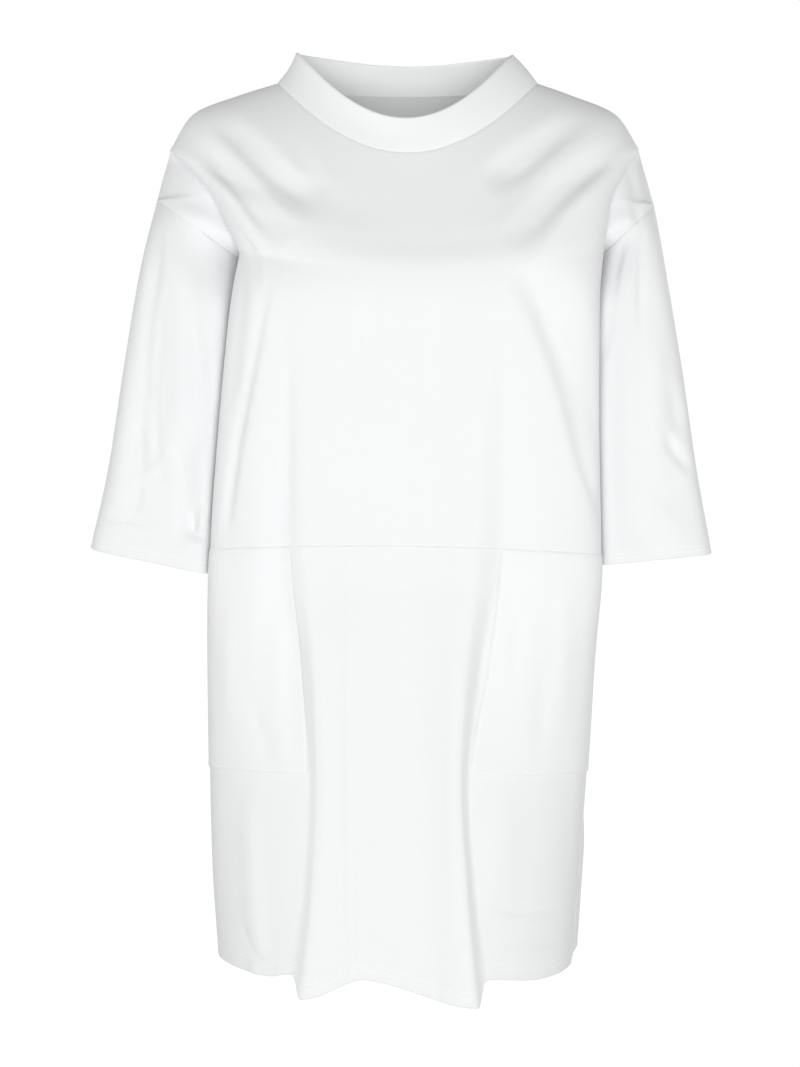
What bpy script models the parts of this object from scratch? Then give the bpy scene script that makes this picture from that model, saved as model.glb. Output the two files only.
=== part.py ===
"""Jersey T-shirt dress, standing in the hollow form it has when worn.

The dress is cut from nine pieces: a stand collar, a front and a back bodice, two elbow sleeves, a front
and a back skirt joined at a waist seam, and two patch pockets hung from that seam. Every piece is a closed
cloth wall of its own. Lengths are millimetres until the meshes are made.

The origin is midway between the shoulders at the height of the neck seam, +Z is up, the front faces -Y, and
"left" and "right" are as seen from the front.

The body is described by stations, from the neck seam (0) to the hem (12). Each station has two side ends,
a front centre and a back centre, and superellipse arcs join them. Between the shoulder tip (3) and the
underarm (5) the ends follow the crease between chest and arm, and a strip of the panel lies on the arm.
"""

import math
from collections import namedtuple

import bpy
import numpy as np

METRES = 0.001
CLOTH = 1.4
COLLAR_CLOTH = 2.8
HEM_CLOTH = 2.6
SEAM_GAP = 0.3
SKIRT_HEM = 15.0
SLEEVE_HEM = 10.0
SLEEVE_CLEARANCE = 3.0
SLEEVE_LEAVES_BODY = 0.2
SQUARER_BESIDE_BODY = 4.0
HEM_PULL_LENGTH = 230.0
JERSEY_COLOUR = (0.86, 0.86, 0.86)
JERSEY_ROUGHNESS = 0.85

NECK, TIP, RING, UNDERARM, WAIST, POCKET_END, HEM = 0, 3, 4, 5, 8, 10, 12

# One row for each station: where the arcs end at the sides. inset is how far the back end lies inside the
# front end. Between the two ends the side seam runs at the depth seam_y.
Side = namedtuple(
    "Side", "left_x right_x left_z right_z front_y back_y inset_left inset_right seam_y_left seam_y_right"
)
SIDES = [
    Side(-121.0, 127.5, 0.0, 0.0, 8.0, 8.0, 0.0, 0.0, 8.0, 8.0),
    Side(-158.0, 160.0, -12.0, -12.0, 6.0, 6.0, 0.0, 0.0, 6.0, 6.0),
    Side(-200.5, 201.5, -30.0, -30.5, 5.0, 5.0, 0.0, 0.0, 5.0, 5.0),
    Side(-222.5, 223.0, -65.0, -63.0, 4.0, 4.0, 0.0, 0.0, 4.0, 4.0),
    Side(-182.0, 195.0, -109.0, -113.0, -46.0, 50.0, 4.0, 10.0, 6.0, 14.0),
    Side(-153.0, 186.0, -167.0, -163.0, -58.0, 56.0, 8.0, 22.0, 6.0, 14.0),
    Side(-160.0, 181.0, -212.0, -212.0, -59.0, 52.0, 10.0, 21.0, 6.0, 14.0),
    Side(-170.5, 180.0, -322.0, -322.0, -60.0, 48.0, 11.0, 19.0, 6.0, 14.0),
    Side(-179.0, 182.0, -443.0, -448.0, -59.0, 46.0, 10.0, 15.0, 6.0, 12.0),
    Side(-181.5, 176.0, -545.0, -547.0, -56.0, 44.0, 7.0, 9.0, 5.0, -6.0),
    Side(-181.0, 170.5, -644.0, -648.0, -53.0, 44.0, 5.0, 1.0, 4.0, -28.0),
    Side(-179.0, 163.0, -732.0, -736.0, -51.0, 44.0, 3.0, -10.0, 3.0, -42.0),
    Side(-173.5, 156.5, -816.0, -824.0, -48.0, 44.0, 2.0, -10.5, 2.0, -40.0),
]

# One row for each station: the centre of the front arc and of the back arc, the arcs' squareness, how the
# rows dip from their ends to their centre, and the two guide lines that the front's deep folds follow.
Centre = namedtuple(
    "Centre", "front_y front_z back_y back_z front_power back_power front_dip back_dip left_line right_line"
)
CENTRES = [
    Centre(-80.0, -75.0, 62.0, -4.0, 2.0, 2.0, 2.0, 2.0, -64.0, 68.0),
    Centre(-88.0, -92.0, 77.0, -20.0, 2.1, 2.1, 2.0, 2.0, -78.0, 80.0),
    Centre(-97.0, -110.0, 89.0, -40.0, 2.2, 2.2, 2.0, 2.0, -90.0, 90.0),
    Centre(-108.0, -132.0, 99.0, -72.0, 2.3, 2.3, 2.0, 2.0, -100.0, 97.0),
    Centre(-122.0, -160.0, 108.0, -116.0, 2.6, 2.3, 2.0, 2.0, -106.0, 99.0),
    Centre(-134.0, -188.0, 113.0, -170.0, 3.0, 2.5, 2.0, 2.0, -108.0, 99.0),
    Centre(-138.0, -226.0, 115.0, -214.0, 3.2, 2.6, 2.0, 2.0, -108.0, 97.0),
    Centre(-138.5, -324.0, 114.0, -322.0, 3.2, 2.6, 2.0, 2.0, -106.0, 92.0),
    Centre(-136.0, -440.0, 110.0, -446.0, 2.9, 2.5, 2.0, 2.0, -104.0, 89.0),
    Centre(-137.0, -543.0, 109.0, -547.0, 2.6, 2.4, 1.5, 1.5, -94.0, 78.0),
    Centre(-138.0, -647.0, 110.0, -648.0, 2.5, 2.4, 1.0, 1.0, -88.0, 61.0),
    Centre(-139.0, -741.0, 112.0, -736.0, 2.5, 2.4, 0.8, 0.8, -92.0, 66.0),
    Centre(-139.0, -831.0, 114.0, -828.0, 2.5, 2.4, 0.5, 0.6, -97.0, 70.5),
]

# Each fold is a line of knots on its panel, seen from the front: rise is out of the cloth, and the widths
# are how far the fold reaches to the left and to the right of its line. Swells are broad folds. Pulls are
# laid out in the same way, but their rise is how far they draw the hem down.
Knot = namedtuple("Knot", "x z rise left right")
FRONT_FOLDS = {
    "left_ridge": [
        Knot(-92.0, -235.0, 0.0, 12.0, 22.0),
        Knot(-92.0, -340.0, 3.0, 11.0, 26.0),
        Knot(-93.0, -440.0, 6.0, 10.0, 30.0),
        Knot(-82.0, -545.0, 7.0, 8.0, 34.0),
        Knot(-78.0, -647.0, 8.0, 7.0, 36.0),
        Knot(-83.0, -740.0, 9.0, 12.0, 38.0),
        Knot(-97.5, -850.0, 10.0, 15.0, 40.0),
    ],
    "left_trough": [
        Knot(-110.0, -230.0, 0.0, 15.0, 12.0),
        Knot(-108.0, -340.0, -5.0, 16.0, 11.0),
        Knot(-106.0, -440.0, -6.0, 18.0, 10.0),
        Knot(-98.0, -545.0, -4.0, 24.0, 10.0),
        Knot(-96.0, -647.0, 0.0, 26.0, 10.0),
    ],
    "left_panel_ridge": [
        Knot(-128.0, -250.0, 0.0, 14.0, 14.0),
        Knot(-132.0, -350.0, 4.0, 15.0, 13.0),
        Knot(-134.0, -440.0, 4.0, 16.0, 14.0),
        Knot(-138.0, -540.0, 0.0, 18.0, 18.0),
    ],
    "right_ridge": [
        Knot(78.0, -205.0, 0.0, 26.0, 14.0),
        Knot(72.0, -340.0, 4.0, 30.0, 12.0),
        Knot(66.0, -440.0, 7.0, 34.0, 12.0),
        Knot(57.0, -545.0, 8.0, 30.0, 8.0),
        Knot(50.0, -647.0, 10.0, 30.0, 7.0),
        Knot(56.0, -740.0, 12.0, 32.0, 10.0),
        Knot(70.0, -860.0, 14.0, 38.0, 13.0),
    ],
    "right_trough": [
        Knot(94.0, -215.0, 0.0, 10.0, 14.0),
        Knot(88.0, -340.0, -5.0, 10.0, 18.0),
        Knot(84.0, -440.0, -7.0, 10.0, 22.0),
        Knot(72.0, -545.0, -5.0, 10.0, 24.0),
        Knot(67.0, -647.0, 0.0, 10.0, 26.0),
    ],
    "centre_valley": [
        Knot(2.0, -440.0, 0.0, 26.0, 26.0),
        Knot(4.0, -560.0, -2.0, 26.0, 22.0),
        Knot(2.0, -700.0, -3.0, 26.0, 22.0),
        Knot(2.0, -850.0, -4.0, 26.0, 22.0),
    ],
    "right_chest_slant": [
        Knot(106.0, -184.0, 0.0, 10.0, 20.0),
        Knot(122.0, -218.0, -6.0, 11.0, 28.0),
        Knot(161.0, -306.0, -7.0, 12.0, 28.0),
        Knot(176.0, -378.0, 0.0, 12.0, 20.0),
    ],
    "left_shoulder_upper": [
        Knot(-178.0, -38.0, 0.0, 10.0, 10.0),
        Knot(-148.0, -64.0, -6.5, 10.0, 10.0),
        Knot(-105.0, -108.0, -6.0, 12.0, 12.0),
        Knot(-74.0, -126.0, 0.0, 14.0, 14.0),
    ],
    "left_shoulder_lower": [
        Knot(-196.0, -60.0, 0.0, 9.0, 9.0),
        Knot(-165.0, -92.0, -6.0, 10.0, 10.0),
        Knot(-135.0, -127.0, -6.0, 10.0, 10.0),
        Knot(-106.0, -162.0, 0.0, 12.0, 12.0),
    ],
    "right_shoulder_upper": [
        Knot(170.0, -34.0, 0.0, 10.0, 10.0),
        Knot(133.0, -64.0, -7.0, 11.0, 11.0),
        Knot(102.0, -91.0, -6.0, 13.0, 13.0),
        Knot(76.0, -108.0, 0.0, 14.0, 14.0),
    ],
    "right_shoulder_lower": [
        Knot(202.0, -64.0, 0.0, 10.0, 10.0),
        Knot(165.0, -93.0, -6.0, 10.0, 10.0),
        Knot(129.0, -128.0, -6.0, 11.0, 11.0),
        Knot(96.0, -168.0, 0.0, 12.0, 12.0),
    ],
}
FRONT_SWELLS = {
    "left_flank": [
        Knot(-84.0, -480.0, 0.0, 40.0, 81.0),
        Knot(-80.0, -600.0, 7.0, 44.0, 74.0),
        Knot(-84.0, -740.0, 13.0, 46.0, 78.0),
        Knot(-94.0, -860.0, 14.0, 44.0, 88.0),
    ],
    "right_flank": [
        Knot(62.0, -480.0, 0.0, 81.0, 44.0),
        Knot(54.0, -600.0, 7.0, 74.0, 50.0),
        Knot(56.0, -740.0, 13.0, 78.0, 54.0),
        Knot(66.0, -860.0, 14.0, 88.0, 52.0),
    ],
}
FRONT_PULLS = {
    "left": [
        Knot(-78.0, -600.0, 19.0, 6.0, 30.0),
        Knot(-83.0, -740.0, 19.0, 5.0, 30.0),
        Knot(-99.5, -860.0, 21.5, 3.4, 36.0),
    ],
    "left_flank": [
        Knot(-116.0, -600.0, 2.4, 26.0, 8.0),
        Knot(-126.0, -860.0, 4.2, 30.0, 12.0),
    ],
    "right": [
        Knot(50.0, -600.0, 23.0, 56.0, 6.0),
        Knot(56.0, -740.0, 23.0, 56.0, 5.0),
        Knot(71.5, -860.0, 24.5, 66.0, 3.2),
    ],
    "right_flank": [
        Knot(124.0, -600.0, 1.6, 20.0, 20.0),
        Knot(124.0, -860.0, 3.6, 26.0, 20.0),
    ],
}
BACK_FOLDS = {
    "back_left_ridge": [
        Knot(-104.0, -200.0, 0.0, 24.0, 24.0),
        Knot(-98.0, -440.0, 6.0, 26.0, 28.0),
        Knot(-92.0, -650.0, 10.0, 26.0, 32.0),
        Knot(-94.0, -850.0, 12.5, 26.0, 34.0),
    ],
    "back_middle_valley": [
        Knot(-10.0, -190.0, 0.0, 36.0, 36.0),
        Knot(-8.0, -440.0, -6.0, 36.0, 36.0),
        Knot(0.0, -650.0, -9.0, 36.0, 36.0),
        Knot(4.0, -850.0, -11.0, 36.0, 36.0),
    ],
    "back_right_ridge": [
        Knot(96.0, -200.0, 0.0, 24.0, 24.0),
        Knot(88.0, -440.0, 5.0, 28.0, 26.0),
        Knot(84.0, -650.0, 9.5, 32.0, 26.0),
        Knot(86.0, -850.0, 12.0, 34.0, 26.0),
    ],
    "back_left_drag": [
        Knot(-190.0, -60.0, 0.0, 13.0, 13.0),
        Knot(-160.0, -100.0, -5.0, 13.0, 13.0),
        Knot(-128.0, -146.0, -5.0, 14.0, 14.0),
        Knot(-104.0, -190.0, 0.0, 14.0, 14.0),
    ],
    "back_right_drag": [
        Knot(192.0, -60.0, 0.0, 13.0, 13.0),
        Knot(164.0, -98.0, -5.0, 13.0, 13.0),
        Knot(132.0, -142.0, -5.0, 14.0, 14.0),
        Knot(106.0, -186.0, 0.0, 14.0, 14.0),
    ],
}
BACK_PULLS = {
    "back_left": [
        Knot(-92.0, -600.0, 10.0, 26.0, 34.0),
        Knot(-94.0, -860.0, 10.0, 26.0, 34.0),
    ],
    "back_right": [
        Knot(84.0, -600.0, 10.0, 34.0, 26.0),
        Knot(86.0, -860.0, 10.0, 34.0, 26.0),
    ],
}
FOLD_FADE = 0.42
FOLD_REACH = 1.8

# The armhole seam is an ellipse round the arm, from its outer point to its underarm point.
Ring = namedtuple("Ring", "outer_x outer_z under_x under_z middle_y depth")
ARMHOLE = {
    "left": Ring(-235.0, -113.0, -147.0, -174.0, 6.0, 64.0),
    "right": Ring(238.5, -117.0, 171.0, -171.0, 14.0, 64.0),
}

# One row for each section of a sleeve below the armhole seam, with how square it is. The inner side is worked
# out from the body.
Cuff = namedtuple("Cuff", "outer_x outer_z inner_z middle_y depth front_dip power")
SLEEVES = {
    "left": [
        Cuff(-249.0, -180.0, -224.0, 3.0, 66.0, 2.0, 3.0),
        Cuff(-264.0, -275.0, -306.0, -3.0, 65.0, 3.0, 3.5),
        Cuff(-277.0, -362.0, -384.0, -7.0, 63.0, 5.0, 3.8),
        Cuff(-293.5, -437.0, -460.0, -9.0, 60.0, 5.5, 3.9),
    ],
    "right": [
        Cuff(247.5, -180.0, -220.0, 10.0, 66.0, 2.0, 3.0),
        Cuff(262.0, -275.0, -300.0, 3.0, 66.0, 2.0, 3.5),
        Cuff(274.0, -362.0, -378.0, -2.0, 64.0, 3.0, 3.8),
        Cuff(288.5, -443.0, -453.0, -5.0, 61.0, 4.0, 3.9),
    ],
}

# The stand collar's top edge: its side ends, its front centre and its back centre.
COLLAR_TOP = Side(-103.0, 104.0, 29.0, 27.5, 8.0, 8.0, 0.0, 0.0, 8.0, 8.0)
COLLAR_TOP_CENTRE = Centre(-76.0, -43.0, 51.0, 22.0, 2.0, 2.0, 2.0, 4.0, -55.0, 57.0)
COLLAR_BULGE_LEFT = -2.5
COLLAR_BULGE_RIGHT = 1.5

# How finely the walls are divided: rows between stations, and columns across.
ROWS = {0: 2, 1: 2, 2: 2, 3: 2, 4: 8, 5: 2, 6: 3, 7: 3, 8: 3, 9: 3, 10: 3, 11: 3}
STRIP_COLUMNS = 3
FLANK_COLUMNS = 9
MIDDLE_COLUMNS = 13
BACK_COLUMNS = 20
COLLAR_ROWS = 3
SLEEVE_ROWS = 9


def slopes(values):
    """Tangents of a smooth curve through evenly spaced values that never overshoots them."""
    steps = np.diff(values)
    before, after = steps[:-1], steps[1:]
    together = before * after > 0
    sums = np.where(together, before + after, 1.0)
    inner = np.where(together, 2.0 * before * after / sums, 0.0)
    return np.concatenate([steps[:1], inner, steps[-1:]])


def smooth(values, at, breaks=()):
    """A smooth curve through evenly spaced values, read at station at. It may turn a corner at a break."""
    start, end = 0, len(values) - 1
    for stop in breaks:
        if at < stop:
            end = min(end, stop)
        else:
            start = max(start, stop)
    piece = np.asarray(values[start : end + 1], float)
    tangents = slopes(piece)
    at = min(max(at - start, 0.0), len(piece) - 1.0)
    i = min(int(at), len(piece) - 2)
    t = at - i
    return (
        (2 * t**3 - 3 * t**2 + 1) * piece[i]
        + (t**3 - 2 * t**2 + t) * tangents[i]
        + (3 * t**2 - 2 * t**3) * piece[i + 1]
        + (t**3 - t**2) * tangents[i + 1]
    )


def read(table, at, breaks=()):
    """One row of a table, read between its rows."""
    columns = zip(*table)
    return type(table[0])(*(smooth(column, at, breaks) for column in columns))


def side_at(at):
    return read(SIDES, at, breaks=(TIP, UNDERARM))


def smoothstep(t):
    t = np.clip(t, 0.0, 1.0)
    return t * t * (3.0 - 2.0 * t)


def arc(left, right, centre_y, centre_z, power, dip, angles):
    """Points of a superellipse arc from left (angle pi) over the centre to right (angle 0)."""
    across = np.sign(np.cos(angles)) * np.abs(np.cos(angles)) ** (2.0 / power)
    outward = np.abs(np.sin(angles)) ** (2.0 / power)
    down = np.clip(1.0 - across**2, 0.0, 1.0) ** (dip / 2.0)
    middle, half = (left + right) / 2.0, (right - left) / 2.0
    points = middle + across[:, None] * half
    points[:, 1] += (centre_y - middle[1]) * outward
    points[:, 2] += (centre_z - middle[2]) * down
    return points


def fold_height(folds, x, z):
    """How far the folds stand out of the cloth at each point, seen from the front."""
    height = np.zeros_like(x)
    for knots in folds.values():
        fine = np.linspace(0.0, len(knots) - 1.0, 6 * len(knots))
        line = np.array([read(knots, at) for at in fine])
        start, run = line[:-1], np.diff(line, axis=0)
        away_x, away_z = x[:, None] - start[:, 0], z[:, None] - start[:, 1]
        along = (away_x * run[:, 0] + away_z * run[:, 1]) / (run[:, 0] ** 2 + run[:, 1] ** 2)
        along = np.clip(along, 0.0, 1.0)
        distance = np.hypot(away_x - along * run[:, 0], away_z - along * run[:, 1])
        nearest = distance.argmin(axis=1)
        each = np.arange(len(x))
        near = start[nearest] + along[each, nearest][:, None] * run[nearest]
        width = np.where(x > near[:, 0], near[:, 4], near[:, 3])
        reach = np.minimum(distance[each, nearest] / (FOLD_REACH * width), 1.0)
        height += near[:, 2] * (1.0 - smoothstep(reach))
    return height


def lay_folds(points, angles, folds, pulls, outward):
    """Moves an arc's points by its folds and hem pulls, which fade out towards the arc's ends."""
    fade = smoothstep(np.sin(angles) / FOLD_FADE)
    height = sum(fold_height(lines, points[:, 0], points[:, 2]) for lines in folds)
    pull = fold_height(pulls, points[:, 0], points[:, 2])
    points[:, 1] += outward * height * fade
    low = smoothstep((-points[:, 2] + SIDES[HEM].left_z + HEM_PULL_LENGTH) / HEM_PULL_LENGTH)
    points[:, 2] -= low * pull * fade
    return points


def line_angle(x, side, power):
    """The arc angle at which an arc passes the given x."""
    share = (2.0 * x - side.left_x - side.right_x) / (side.right_x - side.left_x)
    cosine = math.copysign(abs(share) ** (power / 2.0), share)
    return math.acos(max(-1.0, min(1.0, cosine)))


def eased(start, end, count):
    """Values from start to end, closer together near both."""
    t = np.linspace(0.0, 1.0, count + 1)
    return start + (end - start) * 0.5 * (t + smoothstep(t))


def front_angles(side, centre):
    """Angles of the front's columns: the two guide lines are columns, so folds and pockets follow them."""
    left = line_angle(centre.left_line, side, centre.front_power)
    right = line_angle(centre.right_line, side, centre.front_power)
    flank_left = eased(math.pi, left, FLANK_COLUMNS)
    middle = eased(left, right, MIDDLE_COLUMNS)
    flank_right = eased(right, 0.0, FLANK_COLUMNS)
    return np.concatenate([flank_left, middle[1:], flank_right[1:]])


def front_row(side, centre, folded=True):
    angles = front_angles(side, centre)
    left = np.array([side.left_x, side.front_y, side.left_z])
    right = np.array([side.right_x, side.front_y, side.right_z])
    points = arc(left, right, centre.front_y, centre.front_z, centre.front_power, centre.front_dip, angles)
    if folded:
        points = lay_folds(points, angles, (FRONT_FOLDS, FRONT_SWELLS), FRONT_PULLS, -1.0)
    return points


def back_row(side, centre, folded=True):
    """The back's columns run from right to left, so that they run from left to right seen from behind."""
    angles = np.linspace(math.pi, 0.0, BACK_COLUMNS + 1)
    left = np.array([side.left_x + side.inset_left, side.back_y, side.left_z])
    right = np.array([side.right_x - side.inset_right, side.back_y, side.right_z])
    points = arc(left, right, centre.back_y, centre.back_z, centre.back_power, centre.back_dip, angles)
    if folded:
        points = lay_folds(points, angles, (BACK_FOLDS,), BACK_PULLS, 1.0)
    return points[::-1]


def flank_slope(side, which):
    """How much the body's flank turns inwards from its front end to its back end, as a share of its depth."""
    inset = side.inset_left if which == "left" else -side.inset_right
    return inset / (side.back_y - side.front_y)


def squared(value, power):
    """A sine or cosine as it is on a superellipse."""
    if abs(value) < 1e-9:
        return 0.0
    return math.copysign(abs(value) ** (2.0 / power), value)


def around(middle, half, depth, dip, slope, power, angle):
    """A point of a ring round the arm: angle 0 is outside, pi beside the body, and the sine is forwards.

    Beside the body the ring is squarer, and skewed so that it lies parallel to the flank.
    """
    if math.cos(angle) < 0.0:
        power = 2.0 + (power - 2.0) * SQUARER_BESIDE_BODY
    sine, cosine = squared(math.sin(angle), power), squared(math.cos(angle), power)
    skew = -slope * depth * sine * (1.0 - cosine) / 2.0
    return middle + half * cosine + np.array([skew, -depth * sine, -dip * sine])


def armhole_point(which, angle, outward):
    """A point of the armhole seam: angle 0 is its outer point, pi its underarm point."""
    ring = ARMHOLE[which]
    outer = np.array([ring.outer_x, ring.middle_y, ring.outer_z])
    under = np.array([ring.under_x, ring.middle_y, ring.under_z])
    slope = flank_slope(SIDES[UNDERARM], which)
    return around((outer + under) / 2.0, (outer - under) / 2.0, ring.depth, 0.0, slope, 2.0, -outward * angle)


def side_seam_point(which, at):
    """Where front and back meet: shoulder seam down the arm, armhole and, below the underarm, side seam."""
    side = side_at(at)
    x, z, inset, y = side.left_x, side.left_z, side.inset_left, side.seam_y_left
    if which == "right":
        x, z, inset, y = side.right_x, side.right_z, -side.inset_right, side.seam_y_right
    if at <= TIP:
        return np.array([x, y, z])
    if at <= RING:
        t = at - TIP
        tip = side_seam_point(which, TIP)
        outer = armhole_point(which, 0.0, 1.0)
        return tip + (outer - tip) * t
    share = (y - side.front_y) / (side.back_y - side.front_y)
    below = np.array([x + inset * share, y, z])
    under = armhole_point(which, math.pi, 1.0)
    drop = below[2] - SIDES[UNDERARM].left_z
    pull = math.exp(drop / 25.0)
    return below + (under - np.array([under[0], under[1], SIDES[UNDERARM].left_z])) * pull


def boundary_point(which, at, outward):
    """The panel's own edge: the armhole seam beside the arm, and the seam to the other panel elsewhere."""
    if RING < at < UNDERARM:
        return armhole_point(which, math.pi * (at - RING), outward)
    if at == UNDERARM:
        return armhole_point(which, math.pi, outward)
    return side_seam_point(which, at)


def strip(which, at, end, outward):
    """The panel from its arc's end to its side edge: on the arm above the underarm, on the flank below."""
    edge = boundary_point(which, at, outward)
    t = np.linspace(0.0, 1.0, STRIP_COLUMNS + 1)
    round_arm = 0.0
    if at < UNDERARM:
        round_arm = smoothstep((at - TIP) / 0.5) * (1.0 - smoothstep((at - RING) / 0.45))
    along = (1.0 - round_arm) * t + round_arm * np.sin(math.pi * t / 2.0)
    depth = (1.0 - round_arm) * t + round_arm * (1.0 - np.cos(math.pi * t / 2.0))
    points = end + (edge - end) * along[:, None]
    points[:, 1] = end[1] + (edge[1] - end[1]) * depth
    on_arm = max(0.0, 1.0 - abs(2.0 * (at - RING - 0.3))) if TIP < at < UNDERARM else 0.0
    points[:, 1] += outward * 6.0 * on_arm * np.sin(math.pi * t)
    return points


def body_rows(first, last):
    """Station numbers of the rows from one station to another."""
    rows = [float(first)]
    for station in range(first, last):
        rows += [station + (k + 1.0) / ROWS[station] for k in range(ROWS[station])]
    return rows


def body_patches(rows, outward):
    """The arc patch and the two strip patches of the front (outward -1) or the back (outward 1)."""
    arcs, first_strips, last_strips = [], [], []
    row_of = front_row if outward < 0 else back_row
    sides = ("left", "right") if outward < 0 else ("right", "left")
    for at in rows:
        points = row_of(side_at(at), read(CENTRES, at))
        arcs.append(points)
        if at >= TIP:
            first_strips.append(strip(sides[0], at, points[0], outward)[::-1])
            last_strips.append(strip(sides[1], at, points[-1], outward))
    return [np.array(patch) for patch in (first_strips, arcs, last_strips) if patch]


def hem_rows(last, hem, length):
    """Two extra rows, just above and just inside the turned hem, and the hem's own."""
    step = hem / length
    return [last - 1.12 * step, last - step, float(last)]


def skirt_rows():
    rows = [at for at in body_rows(WAIST, HEM) if at < HEM]
    length = CENTRES[HEM - 1].front_z - CENTRES[HEM].front_z
    return rows + hem_rows(HEM, SKIRT_HEM, length)


def flank_at(z):
    """The body's side ends at a height below the underarm."""
    heights = [-side.left_z for side in SIDES[UNDERARM:]]
    return side_at(float(np.interp(-z, heights, range(UNDERARM, HEM + 1))))


def sleeve_section(which, at):
    """The section of a sleeve as around() takes it; 0 is the armhole seam and 4 the hem."""
    ring, cuffs = ARMHOLE[which], SLEEVES[which]
    first = Cuff(ring.outer_x, ring.outer_z, ring.under_z, ring.middle_y, ring.depth, 0.0, 2.0)
    cuff = read([first] + cuffs, at)
    side = flank_at(cuff.inner_z) if at > 0 else SIDES[UNDERARM]
    slope = flank_slope(side, which)
    edge, outwards = (side.left_x, -1.0) if which == "left" else (side.right_x, 1.0)
    hang = edge + slope * (cuff.middle_y - side.front_y) + outwards * SLEEVE_CLEARANCE
    inner_x = ring.under_x + (hang - ring.under_x) * min(at / SLEEVE_LEAVES_BODY, 1.0)
    outer = np.array([cuff.outer_x, cuff.middle_y, cuff.outer_z])
    inner = np.array([inner_x, cuff.middle_y, cuff.inner_z])
    return (outer + inner) / 2.0, (outer - inner) / 2.0, cuff.depth, cuff.front_dip, slope, cuff.power


def sleeve_patch(which):
    """Rings of the sleeve from the armhole seam to the hem, running from left to right round its outside."""
    steps = ROWS[RING]
    turns = [math.pi * k / steps for k in range(-steps, steps + 1)]
    angles = turns if which == "left" else [-turn for turn in turns]
    last = float(len(SLEEVES[which]))
    length = SLEEVES[which][-2].outer_z - SLEEVES[which][-1].outer_z
    rows = [0.0] + [at for at in np.linspace(SLEEVE_LEAVES_BODY, last, SLEEVE_ROWS) if at < last]
    rows += hem_rows(last, SLEEVE_HEM, length)
    rings = []
    for at in rows:
        section = sleeve_section(which, at)
        rings.append([around(*section, angle) for angle in angles])
    return [np.array(rings)]


def collar_patch():
    """Rings of the collar from its top edge to the neck seam, whose columns are the body's."""
    seam = np.concatenate([
        front_row(side_at(NECK), read(CENTRES, NECK), folded=False),
        back_row(side_at(NECK), read(CENTRES, NECK), folded=False)[1:],
    ])
    top = np.concatenate([
        front_row(COLLAR_TOP, COLLAR_TOP_CENTRE, folded=False),
        back_row(COLLAR_TOP, COLLAR_TOP_CENTRE, folded=False)[1:],
    ])
    middle = np.array([seam[:, 0].mean(), seam[:, 1].mean(), 0.0])
    away = seam - middle
    away[:, 2] = 0.0
    away /= np.linalg.norm(away, axis=1)[:, None]
    share = (1.0 + away[:, :1]) / 2.0
    bulge = COLLAR_BULGE_LEFT + (COLLAR_BULGE_RIGHT - COLLAR_BULGE_LEFT) * share
    rings = []
    for t in np.linspace(0.0, 1.0, COLLAR_ROWS + 1):
        rings.append(top + (seam - top) * t + away * bulge * math.sin(math.pi * t))
    return [np.array(rings)]


def key(point):
    return tuple(int(round(value * 1000.0)) for value in point)


class Panel:
    """One piece of cloth: its outer points, its faces and how thick it is at each point."""

    def __init__(self, patches, thickness):
        self.points, self.faces, self.thickness, index = [], [], [], {}
        for patch in patches:
            ids = np.zeros(patch.shape[:2], int)
            for r, row in enumerate(patch):
                for c, point in enumerate(row):
                    name = key(point)
                    if name not in index:
                        index[name] = len(self.points)
                        self.points.append(point)
                        self.thickness.append(thickness(r, len(patch)))
                    ids[r, c] = index[name]
            for r in range(len(patch) - 1):
                for c in range(len(patch[0]) - 1):
                    self.add_face([ids[r, c], ids[r + 1, c], ids[r + 1, c + 1], ids[r, c + 1]])
        self.points = np.array(self.points)

    def add_face(self, corners):
        """Two triangles across the shorter diagonal, or one where two corners are the same."""
        corners = list(dict.fromkeys(corners))
        if len(corners) < 3:
            return
        if len(corners) == 3:
            self.faces.append(corners)
            return
        a, b, c, d = corners
        first = np.linalg.norm(self.points[a] - self.points[c])
        second = np.linalg.norm(self.points[b] - self.points[d])
        self.faces += [[a, b, c], [a, c, d]] if first <= second else [[a, b, d], [b, c, d]]

    def face_normals(self):
        """Each face with its area-weighted normal."""
        for face in self.faces:
            a, b, c = self.points[face]
            yield face, np.cross(b - a, c - a)

    def boundary(self):
        """Directed edges that only one face has."""
        edges = {(face[i - 1], face[i]) for face in self.faces for i in range(len(face))}
        return [(a, b) for a, b in edges if (b, a) not in edges]


def even(thickness):
    return lambda row, rows: thickness


def hemmed(row, rows):
    """The turned hem, which is double, covers a panel's last two rows."""
    return HEM_CLOTH if row >= rows - 2 else CLOTH


def shared_normals(panels):
    """Vertex normals that pieces have in common along their seams: body, collar and sleeve count alike."""
    groups = {}
    for name, panel in panels.items():
        group = "body" if name.startswith(("front", "back")) else name
        total = groups.setdefault(group, {})
        for face, normal in panel.face_normals():
            for corner in face:
                place = key(panel.points[corner])
                total[place] = total.get(place, 0.0) + normal
    shared = {}
    for total in groups.values():
        for place, normal in total.items():
            shared[place] = shared.get(place, 0.0) + normal / np.linalg.norm(normal)
    for panel in panels.values():
        normals = np.array([shared[key(point)] for point in panel.points])
        panel.normals = normals / np.linalg.norm(normals, axis=1)[:, None]


def seam_shift(panel):
    """How far each point moves into its own panel, so that sewn pieces stay a hair apart."""
    shift = np.zeros_like(panel.points)
    for a, b in panel.boundary():
        inward = np.cross(panel.normals[a], panel.points[b] - panel.points[a])
        inward /= max(np.linalg.norm(inward), 1e-9)
        shift[a] += inward
        shift[b] += inward
    length = np.linalg.norm(shift, axis=1)
    moved = length > 1e-6
    shift[moved] *= (SEAM_GAP / 2.0 / length[moved])[:, None]
    return shift


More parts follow.
